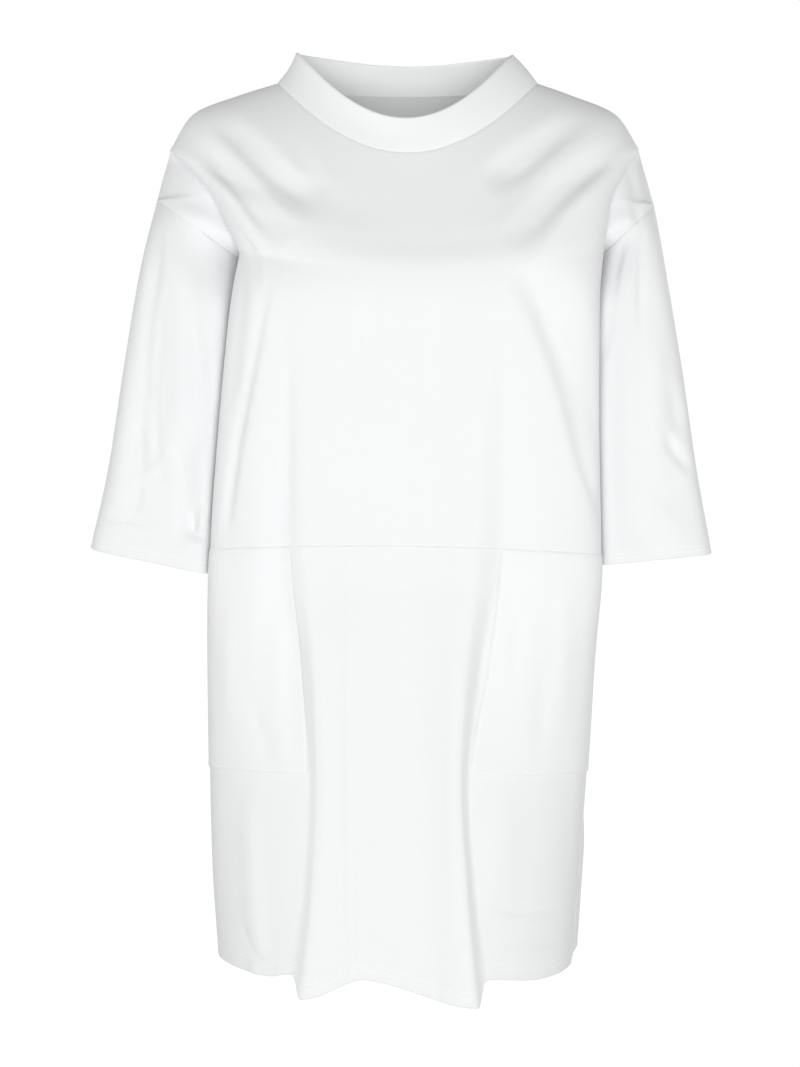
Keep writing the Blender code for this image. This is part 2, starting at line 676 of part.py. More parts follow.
def jersey(name):
    """Matt white jersey for one piece."""
    material = bpy.data.materials.new(name)
    material.use_nodes = True
    shader = material.node_tree.nodes["Principled BSDF"]
    shader.inputs["Base Color"].default_value = (*JERSEY_COLOUR, 1.0)
    shader.inputs["Roughness"].default_value = JERSEY_ROUGHNESS
    shader.inputs["Metallic"].default_value = 0.0
    return material


def make_object(name, points, faces):
    mesh = bpy.data.meshes.new(name)
    mesh.from_pydata((points * METRES).tolist(), [], faces)
    mesh.validate()
    mesh.materials.append(jersey(f"{name}_jersey"))
    mesh.shade_smooth()
    mesh.set_sharp_from_angle(angle=math.radians(40.0))
    thing = bpy.data.objects.new(name, mesh)
    bpy.context.scene.collection.objects.link(thing)
    return thing


def cloth_wall(name, panel, lift=0.0):
    """A closed wall: the panel's points, those points moved inwards, and a rim. lift moves it off its panel.

    The rim's faces are cut the same way on both sides of a seam, so that the two rims run parallel.
    """
    outer_lift = lift + (CLOTH if lift else 0.0)
    placed = panel.points + seam_shift(panel)
    outer = placed + panel.normals * outer_lift
    inner = placed + panel.normals * (outer_lift - np.array(panel.thickness))[:, None]
    count = len(outer)
    faces = [list(face) for face in panel.faces]
    faces += [[corner + count for corner in reversed(face)] for face in panel.faces]
    for a, b in panel.boundary():
        if key(panel.points[a]) < key(panel.points[b]):
            faces += [[b, a, b + count], [a, a + count, b + count]]
        else:
            faces += [[b, a, a + count], [b, a + count, b + count]]
    return make_object(name, np.concatenate([outer, inner]), faces)


def pocket_patches(skirt_patches, which):
    """The part of the front skirt's points that a pocket covers, from the side seam to the guide line."""
    rows = len(body_rows(WAIST, POCKET_END))
    left_strip, arcs, right_strip = (patch[:rows] for patch in skirt_patches)
    if which == "left":
        return [left_strip, arcs[:, : FLANK_COLUMNS + 1]]
    return [arcs[:, FLANK_COLUMNS + MIDDLE_COLUMNS :], right_strip]


def build():
    for thing in list(bpy.data.objects):
        bpy.data.objects.remove(thing)
    front_skirt = body_patches(skirt_rows(), -1.0)
    panels = {
        "collar": Panel(collar_patch(), even(COLLAR_CLOTH)),
        "front_bodice": Panel(body_patches(body_rows(NECK, WAIST), -1.0), even(CLOTH)),
        "back_bodice": Panel(body_patches(body_rows(NECK, WAIST), 1.0), even(CLOTH)),
        "left_sleeve": Panel(sleeve_patch("left"), hemmed),
        "right_sleeve": Panel(sleeve_patch("right"), hemmed),
        "front_skirt": Panel(front_skirt, hemmed),
        "back_skirt": Panel(body_patches(skirt_rows(), 1.0), hemmed),
    }
    shared_normals(panels)
    skirt = panels["front_skirt"]
    normal_at = {key(point): normal for point, normal in zip(skirt.points, skirt.normals)}
    for name, panel in panels.items():
        cloth_wall(name, panel)
    for which in ("left", "right"):
        pocket = Panel(pocket_patches(front_skirt, which), even(CLOTH))
        pocket.normals = np.array([normal_at[key(point)] for point in pocket.points])
        cloth_wall(f"{which}_pocket", pocket, lift=SEAM_GAP)


build()
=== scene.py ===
"""White jersey T-shirt dress, filled out as it is when worn: its cloth, sewing, studio and camera.

Each cloth piece follows the same sections, folds and seams as its solid, more finely, with smaller creases,
sunk seams, rolled hems and stitches. Lengths are millimetres until the meshes are made. "Left" and "right"
are as seen from the front, which faces -Y.
"""

import math
from collections import namedtuple

import bpy
import numpy as np
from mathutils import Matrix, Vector


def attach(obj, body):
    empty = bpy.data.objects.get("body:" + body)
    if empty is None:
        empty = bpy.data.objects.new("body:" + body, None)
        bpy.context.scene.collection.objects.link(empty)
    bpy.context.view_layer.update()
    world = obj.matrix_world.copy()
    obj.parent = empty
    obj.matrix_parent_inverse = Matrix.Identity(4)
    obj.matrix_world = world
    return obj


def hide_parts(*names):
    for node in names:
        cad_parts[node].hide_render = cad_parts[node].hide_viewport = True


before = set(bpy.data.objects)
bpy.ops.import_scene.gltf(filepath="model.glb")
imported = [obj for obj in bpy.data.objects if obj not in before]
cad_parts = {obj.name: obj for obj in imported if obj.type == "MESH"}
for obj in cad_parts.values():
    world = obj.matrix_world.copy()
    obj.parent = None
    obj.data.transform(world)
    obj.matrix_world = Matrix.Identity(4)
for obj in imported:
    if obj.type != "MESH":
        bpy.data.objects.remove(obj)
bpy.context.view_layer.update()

METRES = 0.001

# Cloth thicknesses, the gaps between the pieces, how far a seam sinks, and how far a free edge is rolled out
# as a share of its thickness.
CLOTH = 0.9
COLLAR_CLOTH = 2.4
HEM_CLOTH = 1.9
POCKET_CLOTH = 1.0
POCKET_GAP = 0.35
SEAM_GAP = 0.06
SEAM_DIP = 0.15
ROLL_OUT = 0.45

# How a sleeve lies beside the body: its clearance, the station from which it hangs beside the flank, how much
# squarer than the tables its rings are on either side, and how far their inner front edge leans forwards.
SLEEVE_CLEARANCE = 0.6
SLEEVE_LEAVES_BODY = 0.2
SQUARER_BESIDE_BODY = 4.0
SQUARER_OUTSIDE = 2.6
SLEEVE_LEAN = 22.0

# Stations of the body, from the neck seam to the hem.
NECK, TIP, RING, UNDERARM, WAIST, POCKET_END, HEM = 0, 3, 4, 5, 8, 10, 12

# One row for each station: where the arcs end at the sides. inset is how far the back end lies inside the
# front end. Between the two ends the side seam runs at the depth seam_y.
Side = namedtuple(
    "Side", "left_x right_x left_z right_z front_y back_y inset_left inset_right seam_y_left seam_y_right"
)
SIDES = [
    Side(-121, 127.5, 0, 0, 8, 8, 0, 0, 8, 8),
    Side(-158, 160, -12, -12, 6, 6, 0, 0, 6, 6),
    Side(-200.5, 201.5, -30, -30.5, 5, 5, 0, 0, 5, 5),
    Side(-222.5, 223, -65, -63, 4, 4, 0, 0, 4, 4),
    Side(-182, 195, -109, -113, -46, 50, 4, 10, 6, 14),
    Side(-153, 186, -167, -163, -58, 56, 8, 22, 6, 14),
    Side(-160, 181, -212, -212, -82, 52, 10, 21, 6, 14),
    Side(-170.5, 180, -322, -322, -90, 48, 11, 19, 6, 14),
    Side(-179, 182, -443, -448, -88, 46, 10, 15, 6, 12),
    Side(-181.5, 176, -545, -547, -66, 44, 7, 9, 5, -6),
    Side(-181, 170.5, -644, -648, -53, 44, 5, 1, 4, -28),
    Side(-179, 163, -732, -736, -51, 44, 3, -10, 3, -42),
    Side(-173.5, 156.5, -816, -824, -48, 44, 2, -10.5, 2, -40),
]

# One row for each station: the centre of the front arc and of the back arc, the arcs' squareness, how the
# rows dip from their ends to their centre, and the two guide lines that the front's deep folds follow.
Centre = namedtuple(
    "Centre", "front_y front_z back_y back_z front_power back_power front_dip back_dip left_line right_line"
)
CENTRES = [
    Centre(-80, -75, 62, -4, 2, 2, 2, 2, -64, 68),
    Centre(-88, -92, 77, -20, 2.1, 2.1, 2, 2, -78, 80),
    Centre(-97, -110, 89, -40, 2.2, 2.2, 2, 2, -90, 90),
    Centre(-108, -132, 99, -72, 2.3, 2.3, 2, 2, -100, 97),
    Centre(-122, -160, 108, -116, 2.6, 2.3, 2, 2, -106, 99),
    Centre(-134, -188, 113, -170, 3, 2.5, 2, 2, -108, 99),
    Centre(-138, -226, 115, -214, 3.2, 2.6, 2, 2, -108, 97),
    Centre(-138.5, -324, 114, -322, 3.2, 2.6, 2, 2, -106, 92),
    Centre(-136, -440, 110, -446, 2.9, 2.5, 2, 2, -104, 89),
    Centre(-137, -543, 109, -547, 2.6, 2.4, 1.5, 1.5, -94, 78),
    Centre(-138, -647, 110, -648, 2.5, 2.4, 1, 1, -88, 61),
    Centre(-139, -741, 112, -736, 2.5, 2.4, 0.8, 0.8, -92, 66),
    Centre(-139, -831, 114, -828, 2.5, 2.4, 0.5, 0.6, -97, 70.5),
]

# Each fold is a line of knots on its panel, seen from the front, and each knot holds the columns of Knot:
# rise is out of the cloth, and left and right are how far the fold reaches to either side of its line. Swells
# are broad folds. Pulls are laid out in the same way, but their rise is how far they draw the hem down.
Knot = namedtuple("Knot", "x z rise left right")
FRONT_FOLDS = {
    "left_ridge": [
        (-92, -235, 0, 12, 22), (-92, -340, 1.6, 14, 26), (-93, -440, 4.6, 14, 30), (-82, -545, 7, 8, 34),
        (-78, -647, 6, 5, 36), (-83, -740, 4.5, 4.4, 38), (-97.5, -850, 5, 4, 40),
    ],
    "left_trough": [
        (-110, -230, 0, 15, 12), (-108, -340, -2.6, 14, 11), (-106, -440, -3.6, 16, 10),
        (-98, -545, -4, 24, 10), (-96, -647, 0, 26, 10),
    ],
    "left_panel_ridge": [
        (-128, -250, 0, 14, 14), (-132, -350, 4, 15, 13), (-134, -440, 4, 16, 14), (-138, -540, 0, 18, 18),
    ],
    "right_ridge": [
        (78, -205, 0, 26, 14), (72, -340, 2.4, 30, 15), (66, -440, 5.4, 34, 17), (57, -545, 8, 30, 8),
        (50, -647, 8, 30, 5), (56, -740, 7, 32, 4.4), (70, -860, 7.5, 38, 4),
    ],
    "right_trough": [
        (94, -215, 0, 10, 14), (90, -340, -3, 12, 18), (88, -440, -4.6, 13, 22), (72, -545, -5, 10, 24),
        (67, -647, 0, 10, 26),
    ],
    "centre_valley": [
        (2, -440, 0, 26, 26), (4, -560, -2, 26, 22), (2, -700, -3, 26, 22), (2, -850, -4, 26, 22),
    ],
    "right_chest_slant": [
        (106, -184, 0, 10, 20), (122, -218, -6, 11, 28), (161, -306, -7, 12, 28), (176, -378, 0, 12, 20),
    ],
    "left_shoulder_upper": [
        (-178, -38, 0, 10, 10), (-148, -64, -6.5, 10, 10), (-105, -108, -6, 12, 12), (-74, -126, 0, 14, 14),
    ],
    "left_shoulder_lower": [
        (-196, -60, 0, 9, 9), (-165, -92, -6, 10, 10), (-135, -127, -6, 10, 10), (-106, -162, 0, 12, 12),
    ],
    "right_shoulder_upper": [
        (170, -34, 0, 10, 10), (133, -64, -7, 11, 11), (102, -91, -6, 13, 13), (76, -108, 0, 14, 14),
    ],
    "right_shoulder_lower": [
        (202, -64, 0, 10, 10), (165, -93, -6, 10, 10), (129, -128, -6, 11, 11), (96, -168, 0, 12, 12),
    ],
}
FRONT_SWELLS = {
    "left_flank": [
        (-84, -480, 0, 40, 81), (-80, -600, 9, 44, 74), (-84, -740, 18, 46, 78), (-94, -860, 20, 44, 88),
    ],
    "right_flank": [
        (62, -480, 0, 81, 44), (54, -600, 9, 74, 50), (56, -740, 18, 78, 54), (66, -860, 20, 88, 52),
    ],
}
FRONT_PULLS = {
    "left": [(-78, -600, 19, 6, 30), (-83, -740, 19, 5, 30), (-99.5, -860, 21.5, 3.4, 36)],
    "left_flank": [(-116, -600, 2.4, 26, 8), (-126, -860, 4.2, 30, 12)],
    "right": [(50, -600, 23, 56, 6), (56, -740, 23, 56, 5), (71.5, -860, 24.5, 66, 3.2)],
    "right_flank": [(124, -600, 1.6, 20, 20), (124, -860, 3.6, 26, 20)],
}
BACK_FOLDS = {
    "back_left_ridge": [
        (-104, -200, 0, 24, 24), (-98, -440, 6, 26, 28), (-92, -650, 10, 26, 32), (-94, -850, 12.5, 26, 34),
    ],
    "back_middle_valley": [
        (-10, -190, 0, 36, 36), (-8, -440, -6, 36, 36), (0, -650, -9, 36, 36), (4, -850, -11, 36, 36),
    ],
    "back_right_ridge": [
        (96, -200, 0, 24, 24), (88, -440, 5, 28, 26), (84, -650, 9.5, 32, 26), (86, -850, 12, 34, 26),
    ],
    "back_left_drag": [
        (-190, -60, 0, 13, 13), (-160, -100, -5, 13, 13), (-128, -146, -5, 14, 14), (-104, -190, 0, 14, 14),
    ],
    "back_right_drag": [
        (192, -60, 0, 13, 13), (164, -98, -5, 13, 13), (132, -142, -5, 14, 14), (106, -186, 0, 14, 14),
    ],
}
BACK_PULLS = {
    "back_left": [(-92, -600, 10, 26, 34), (-94, -860, 10, 26, 34)],
    "back_right": [(84, -600, 10, 34, 26), (86, -860, 10, 34, 26)],
}
# Folds fade out where an arc has come this share of the way out of its ends. They reach this many widths from
# their line, which is read this finely, and pulls set in over this height above the hem.
FOLD_FADE = 0.42
FOLD_REACH = 1.8
STEPS_PER_KNOT = 6
HEM_PULL_LENGTH = 230.0

# The armhole seam is an ellipse round the arm, from its outer point to its underarm point.
Ring = namedtuple("Ring", "outer_x outer_z under_x under_z middle_y depth")
ARMHOLE = {
    "left": Ring(-235, -113, -147, -174, 6, 64),
    "right": Ring(238.5, -117, 171, -171, 14, 64),
}

# One row for each section of a sleeve below the armhole seam, with how square it is. The inner side is worked
# out from the body.
Cuff = namedtuple("Cuff", "outer_x outer_z inner_z middle_y depth front_dip power")
SLEEVES = {
    "left": [
        Cuff(-249, -180, -224, 3, 66, 2, 3),
        Cuff(-264, -275, -306, -3, 65, 3, 3.5),
        Cuff(-277, -362, -384, -7, 63, 5, 3.8),
        Cuff(-293.5, -437, -460, -9, 60, 5.5, 3.9),
    ],
    "right": [
        Cuff(247.5, -180, -220, 10, 66, 2, 3),
        Cuff(262, -275, -300, 3, 66, 2, 3.5),
        Cuff(274, -362, -378, -2, 64, 3, 3.8),
        Cuff(288.5, -443, -453, -5, 61, 4, 3.9),
    ],
}

# The stand collar's top edge: its side ends, its front centre and its back centre.
COLLAR_TOP = Side(-103, 104, 29, 27.5, 8, 8, 0, 0, 8, 8)
COLLAR_TOP_CENTRE = Centre(-76, -43, 51, 22, 2, 2, 2, 4, -55, 57)
COLLAR_BULGE_LEFT = -2.5
COLLAR_BULGE_RIGHT = 1.5

# Small creases, which only the cloth has. They move it along its own normal.
FRONT_CREASES = {
    "left_edge_line": [
        (-122, -188, 0, 4, 3), (-130.5, -241, -2.2, 5, 2.6), (-140, -291, -2.8, 5, 2.6),
        (-151, -347, -3, 5, 2.8), (-158.5, -397, -2.8, 5, 3), (-163, -432, 0, 5, 3),
    ],
    "left_edge_crest": [
        (-117, -200, 0, 4, 8), (-125, -241, 1.2, 4, 10), (-134.5, -291, 1.6, 4, 12),
        (-145, -347, 1.6, 4, 12), (-152, -397, 1.2, 4, 12), (-157, -432, 0, 4, 10),
    ],
    "left_hollow": [
        (-149, -170, 0, 5, 5), (-150.5, -208, -3.2, 8, 7), (-156, -270, -2.8, 7, 7), (-160, -318, 0, 6, 6),
    ],
    "left_armpit_curl": [
        (-156, -150, 0, 3, 3), (-143, -162, -1.8, 3.5, 3.5), (-136, -180, -1.6, 4, 3.5),
        (-135, -208, 0, 4, 3),
    ],
    "left_upper_line": [
        (-178, -44, 0, 3.5, 3.5), (-152, -70, -1.6, 4.5, 4), (-120, -101, -1.8, 5, 4.5),
        (-84, -126, 0, 5, 5),
    ],
    "left_lower_line": [
        (-190, -70, 0, 3.5, 3.5), (-166, -97, -1.6, 4.5, 4), (-138, -133, -1.8, 4.5, 4.5),
        (-112, -168, 0, 5, 5),
    ],
    "right_upper_line": [
        (168, -40, 0, 3.5, 3.5), (140, -66, -1.6, 4, 4.5), (112, -90, -1.8, 4.5, 5), (82, -112, 0, 5, 5),
    ],
    "right_lower_line": [
        (198, -72, 0, 3.5, 3.5), (168, -98, -1.6, 4, 4.5), (136, -130, -1.8, 4.5, 4.5),
        (106, -166, 0, 5, 5),
    ],
    "left_inner_band": [
        (-107, -232, 0, 4, 4), (-105.5, -306, -1.2, 5, 5), (-107, -380, -1.6, 6, 5), (-105, -434, 0, 6, 5),
    ],
    "middle_line": [
        (-53, -215, 0, 3, 3), (-52, -380, -0.8, 3.5, 3), (-52, -500, -0.9, 3.5, 3),
        (-51, -600, -1.4, 2.6, 3.6), (-50.5, -700, -1.8, 2.6, 5), (-49, -790, -1.6, 2.6, 5),
        (-47.5, -838, -1, 2.6, 5),
    ],
    "middle_right_line": [(14, -250, 0, 6, 6), (16, -380, 0.9, 7, 7), (14, -480, 0, 7, 7)],
    "chest_crumple_left": [(-38, -205, 0, 6, 6), (-34, -262, -1, 7, 7), (-37, -330, 0, 7, 7)],
    "chest_crumple_right": [(34, -210, 0, 7, 7), (28, -290, -1, 7, 7), (30, -380, 0, 7, 7)],
    "right_slant_line": [
        (110, -186, 0, 5, 6), (129.6, -241, -1.6, 5, 8), (148, -305, -2, 5, 8), (166, -370, -2.4, 5, 7),
        (177, -399, -1.8, 5, 5), (184, -425, 0, 5, 4),
    ],
    "right_arm_hollow": [
        (212, -76, 0, 4, 3), (216.5, -100, -2.6, 5, 3.5), (218.5, -126, -2.6, 5, 3.5),
        (218.5, -142, 0, 4, 3),
    ],
    "skirt_right_slope": [
        (14, -520, 0, 14, 14), (18, -600, -1.6, 16, 15), (22, -680, -2.6, 17, 14), (24, -760, -2.8, 17, 14),
        (26, -846, -2.6, 16, 14),
    ],
    "skirt_right_crest": [
        (46, -440, 0, 9, 6), (49, -540, 1.4, 10, 5), (45, -640, 1.8, 8, 5), (50, -740, 1.8, 9, 6),
        (60, -850, 1.8, 12, 6),
    ],
    "skirt_left_crest": [
        (-70, -470, 0, 8, 8), (-74, -560, 1.2, 6, 10), (-70, -650, 1.8, 6, 12), (-76, -740, 1.8, 6, 12),
        (-88, -850, 1.4, 6, 14),
    ],
    "skirt_left_flank": [
        (-142, -660, 0, 8, 7), (-140, -710, 2.2, 9, 8), (-137, -780, 2.4, 9, 9), (-132, -846, 1.6, 9, 10),
    ],
    "skirt_right_flank": [
        (93, -650, 0, 12, 10), (90, -700, 2, 14, 12), (86, -745, 1.2, 12, 12), (84, -770, 0, 10, 10),
    ],
    "right_flank_crease": [
        (82, -765, 0, 4, 4), (104, -772, -2.2, 4, 4), (132, -772, -1.8, 4, 4), (146, -768, 0, 4, 4),
    ],
    "right_flank_low_crease": [
        (110, -806, 0, 3, 3), (126, -803, -2.2, 3, 3), (138, -801, -1.6, 3, 3), (146, -798, 0, 3, 3),
    ],
    "left_low_creases": [
        (-150, -778, 0, 3, 3), (-144, -796, -1.6, 3, 3), (-134, -814, -1.8, 3, 3), (-126, -822, 0, 3, 3),
    ],
    "left_hem_crease": [(-156, -806, 0, 2.4, 2.4), (-140, -812, -1.4, 2.4, 2.4), (-122, -816, 0, 2.4, 2.4)],
    "left_pocket_crumple": [
        (-142, -560, 0, 5, 5), (-134, -596, -1.6, 6, 5), (-124, -628, -1.2, 6, 5), (-118, -648, 0, 5, 5),
    ],
    "left_pocket_fold": [
        (-112, -470, 0, 6, 6), (-116, -540, 1.5, 7, 7), (-112, -612, 1.2, 7, 6), (-108, -650, 0, 6, 6),
    ],
    "left_pocket_edge_fold": [(-158, -480, 0, 6, 6), (-160, -560, 1.4, 7, 7), (-156, -640, 0, 7, 7)],
    "right_pocket_fold": [(104, -470, 0, 5, 5), (101, -530, -1.7, 5, 6), (99, -590, 0, 5, 5)],
    "right_pocket_crease": [(128, -540, 0, 4, 5), (124, -590, -1.4, 4, 5), (122, -640, 0, 4, 5)],
    "right_pocket_ridge": [(146, -460, 0, 7, 7), (144, -540, 1.6, 8, 8), (140, -630, 0, 8, 8)],
    "left_neck_drag": [(-112, -52, 0, 7, 7), (-88, -92, -1.4, 8, 8), (-58, -128, 0, 9, 9)],
    "right_neck_drag": [(118, -46, 0, 7, 7), (92, -86, -1.5, 8, 8), (60, -122, 0, 9, 9)],
    "left_crest": [
        (-186, -80, 0, 5, 5), (-160, -118, 1.8, 6, 6), (-136, -160, 1.4, 7, 6), (-122, -196, 0, 7, 6),
    ],
    "right_crest": [
        (196, -86, 0, 5, 5), (166, -118, 1.8, 6, 6), (136, -156, 1.5, 6, 7), (112, -196, 0, 6, 7),
    ],
    "left_armpit_pucker": [(-168, -150, 0, 3, 3), (-160, -164, 1.2, 3, 3), (-158, -182, 0, 3, 3)],
}

# The rises of the back's and the sleeves' creases are multiplied by these, so that they show in soft light.
# Creases fade out where the cloth's normal has less than this share of its length to the front or the back.
BACK_CREASE_DEPTH = 1.6
SLEEVE_CREASE_DEPTH = 1.35
TURN_FADE = 0.3
BACK_CREASES = {
    "back_left_line": [
        (-60, -180, 0, 7, 7), (-56, -320, 1.6, 8, 8), (-54, -440, 1.8, 8, 9), (-52, -560, 0, 8, 9),
    ],
    "back_right_line": [
        (44, -230, 0, 8, 7), (48, -400, -1.6, 9, 8), (50, -600, -2, 9, 8), (52, -835, -1.4, 9, 8),
    ],
    "back_left_flank": [
        (-132, -210, 0, 8, 8), (-134, -380, -2.2, 8, 9), (-138, -600, -2.6, 9, 10),
        (-136, -820, -1.8, 9, 10),
    ],
    "back_right_flank": [
        (126, -230, 0, 8, 8), (130, -420, -2.4, 9, 9), (128, -640, -2, 10, 9), (130, -824, -1.6, 10, 9),
    ],
    "back_left_shoulder": [(-170, -40, 0, 8, 8), (-140, -74, -1.8, 9, 9), (-98, -108, 0, 10, 10)],
    "back_right_shoulder": [(174, -42, 0, 8, 8), (138, -78, -2, 9, 9), (94, -116, 0, 10, 10)],
    "back_waist_pull": [(-96, -396, 0, 6, 6), (-60, -408, -1.2, 7, 7), (-20, -402, 0, 7, 7)],
}
SLEEVE_CREASES = {
    "left_front": {
        "long_trough": [
            (-231, -140, 0, 5, 5), (-230, -172, -3, 7, 5), (-234.5, -211, -3, 6, 5),
            (-238.5, -253, -2.4, 4, 4), (-240, -299, -2, 4, 4), (-242, -322, 0, 4, 4),
        ],
        "second_trough": [
            (-227, -205, 0, 3, 4), (-227, -248, -1.4, 3.5, 4), (-231, -299, -1.2, 3.5, 4),
            (-229.5, -332, -1.8, 3.5, 3.5), (-226, -368, -1.4, 3, 3), (-225, -382, 0, 3, 3),
        ],
        "inner_upper": [(-193, -138, 0, 6, 6), (-192, -180, -1.8, 8, 8), (-193, -222, 0, 7, 8)],
        "inner_trough": [
            (-197, -222, 0, 5, 6), (-191, -266, -3, 7, 9), (-187, -304, -3.4, 8, 10),
            (-191, -341, -2.4, 8, 12), (-196, -357, 0, 8, 10),
        ],
        "inner_dark": [
            (-211, -343, 0, 4, 8), (-207, -364, -3.2, 5, 12), (-203, -397, -3.6, 6, 12),
            (-205, -424, -2.4, 6, 12), (-206, -442, 0, 6, 10),
        ],
        "middle_ridge": [
            (-213, -150, 0, 8, 8), (-209, -211, 1.8, 9, 9), (-207, -285, 2, 9, 9), (-212, -332, 1.4, 8, 8),
            (-214, -352, 0, 8, 8),
        ],
        "hem_crease": [
            (-284, -412.5, 0, 2, 2.4), (-272, -413.5, -1.8, 2.2, 2.6), (-258, -415, -2, 2.2, 2.6),
            (-246, -417.5, -1.6, 2.2, 2.6), (-231, -422, 0, 2, 2.4),
        ],
        "elbow_crumple": [
            (-240, -312, 0, 4, 4), (-245, -341, -2.4, 6, 4.5), (-243, -364, -1.6, 5, 4),
            (-243, -376, 0, 4, 4),
        ],
        "crumple_curl": [
            (-239, -358, 0, 3, 3), (-233, -371, 1.8, 3, 3), (-227, -366, 1.8, 3, 3), (-225, -352, 0, 3, 3),
        ],
        "low_line": [(-244, -376, 0, 2.6, 2.6), (-246.5, -397, -1.8, 3, 2.6), (-249.5, -412, 0, 2.6, 2.6)],
        "outer_ridge": [
            (-250, -240, 0, 6, 8), (-257, -320, 2, 7, 9), (-266, -390, 1.8, 8, 10), (-271, -424, 0, 8, 10),
        ],
        "inner_swirl": [
            (-187, -400, 0, 3, 3), (-195.5, -411, -4.6, 3.6, 3), (-196, -425, -4.6, 3.6, 3),
            (-189, -431, -4.2, 3, 3.4), (-180, -425, 0, 3, 3),
        ],
    },
    "left_back": {
        "long_trough": [(-206, -170, 0, 9, 9), (-214, -280, -3, 10, 10), (-222, -420, 0, 10, 10)],
        "outer_ridge": [(-238, -190, 0, 8, 8), (-250, -300, 2.2, 9, 9), (-262, -420, 0, 9, 9)],
    },
    "right_front": {
        "curve_line": [
            (208, -147, 0, 4, 4), (199, -175, -2.4, 4, 4), (193.5, -211, -2.6, 4, 4),
            (189.5, -243, -2, 4, 4), (183, -271, 0, 4, 4),
        ],
        "straight_line": [
            (224, -136, 0, 3, 3), (221.5, -173, -2.2, 4, 3.5), (220.5, -210, -1.8, 4, 3),
            (219.5, -238, 0, 3, 3),
        ],
        "bright_ridge": [
            (232, -222, 0, 8, 8), (234, -285, 2.6, 9, 9), (234, -332, 2, 9, 9), (239, -392, 0, 9, 9),
        ],
        "inner_trough": [
            (206, -220, 0, 12, 12), (207, -330, -1.8, 14, 13), (212, -420, -2, 14, 13),
            (214, -446, 0, 14, 12),
        ],
        "elbow_crease": [
            (242, -334, 0, 4, 4), (250, -349, -2.6, 5, 5), (260, -361, -2.6, 5, 5), (267, -371, 0, 4, 4),
        ],
        "outer_trough": [(249, -286, 0, 6, 5), (255, -320, -2.2, 7, 5), (258, -342, 0, 6, 5)],
        "low_swell": [
            (236, -392, 0, 12, 12), (244, -416, 1.8, 14, 14), (252, -436, 1.4, 14, 14),
            (258, -450, 0, 12, 12),
        ],
    },
    "right_back": {
        "long_trough": [(206, -180, 0, 9, 9), (216, -300, -3, 10, 10), (226, -425, 0, 10, 10)],
        "outer_ridge": [(236, -200, 0, 8, 8), (250, -310, 2, 9, 9), (260, -410, 0, 9, 9)],
    },
}

# How far the cloth's small waves beside a seam or in a hem stand out, and how far from it they reach.
# The waves are two sines whose phases wander to and fro.
PUCKER_RISE = 0.22
WAIST_PUCKERS = 7.0
HEM_PUCKERS = 14.0
Wave = namedtuple("Wave", "share length wander wander_length")
PUCKER_WAVES = (Wave(1.0, 3.1, 1.3, 31.0), Wave(0.7, 1.9, 2.0, 17.0))

# How finely the cloth is divided. ROWS gives the rows below each station.
STRIP_COLUMNS = 14
FLANK_COLUMNS = 40
MIDDLE_COLUMNS = 74
BACK_COLUMNS = 84
SLEEVE_SIDE = 52
SLEEVE_ROWS = 88
COLLAR_ROLL_ROWS = (0.04,)
COLLAR_MIDDLE_ROWS = (0.12, 0.95, 6)
SEAM_ROW = 0.016
SLEEVE_SEAM_ROW = 0.02
ROWS = {0: 6, 1: 6, 2: 7, 3: 10, 4: SLEEVE_SIDE, 5: 11, 6: 28, 7: 31, 8: 27, 9: 28, 10: 24, 11: 24}


def slopes(values):
    """Tangents of a smooth curve through evenly spaced values that never overshoots them."""
    steps = np.diff(values)
    before, after = steps[:-1], steps[1:]
    together = before * after > 0
    sums = np.where(together, before + after, 1.0)
    inner = np.where(together, 2.0 * before * after / sums, 0.0)
    return np.concatenate([steps[:1], inner, steps[-1:]])


def smooth(values, at, breaks=()):
    """A smooth curve through evenly spaced values, read at station at. It may turn a corner at a break."""
    start, end = 0, len(values) - 1
    for stop in breaks:
        if at < stop:
            end = min(end, stop)
        else:
            start = max(start, stop)
    piece = np.asarray(values[start : end + 1], float)
    tangents = slopes(piece)
    at = min(max(at - start, 0.0), len(piece) - 1.0)
    i = min(int(at), len(piece) - 2)
    t = at - i
    return (
        (2 * t**3 - 3 * t**2 + 1) * piece[i]
        + (t**3 - 2 * t**2 + t) * tangents[i]
        + (3 * t**2 - 2 * t**3) * piece[i + 1]
        + (t**3 - t**2) * tangents[i + 1]
    )


def read(table, at, breaks=()):
    """One row of a table, read between its rows."""
    columns = zip(*table)
    return type(table[0])(*(smooth(column, at, breaks) for column in columns))


def side_at(at):
    return read(SIDES, at, breaks=(TIP, UNDERARM))


def smoothstep(t):
    t = np.clip(t, 0.0, 1.0)
    return t * t * (3.0 - 2.0 * t)


def squared(cosine, sine, power):
    """A direction's cosine and sine, taken out to a superellipse."""
    reach = (abs(cosine) ** power + abs(sine) ** power) ** (-1.0 / power)
    return cosine * reach, sine * reach


def arc(left, right, centre_y, centre_z, power, dip, angles):
    """Points of a superellipse arc from left (angle pi) over the centre to right (angle 0)."""
    across, outward = squared(np.cos(angles), np.abs(np.sin(angles)), power)
    down = np.clip(1.0 - across**2, 0.0, 1.0) ** (dip / 2.0)
    middle, half = (left + right) / 2.0, (right - left) / 2.0
    points = middle + across[:, None] * half
    points[:, 1] += (centre_y - middle[1]) * outward
    points[:, 2] += (centre_z - middle[2]) * down
    return points


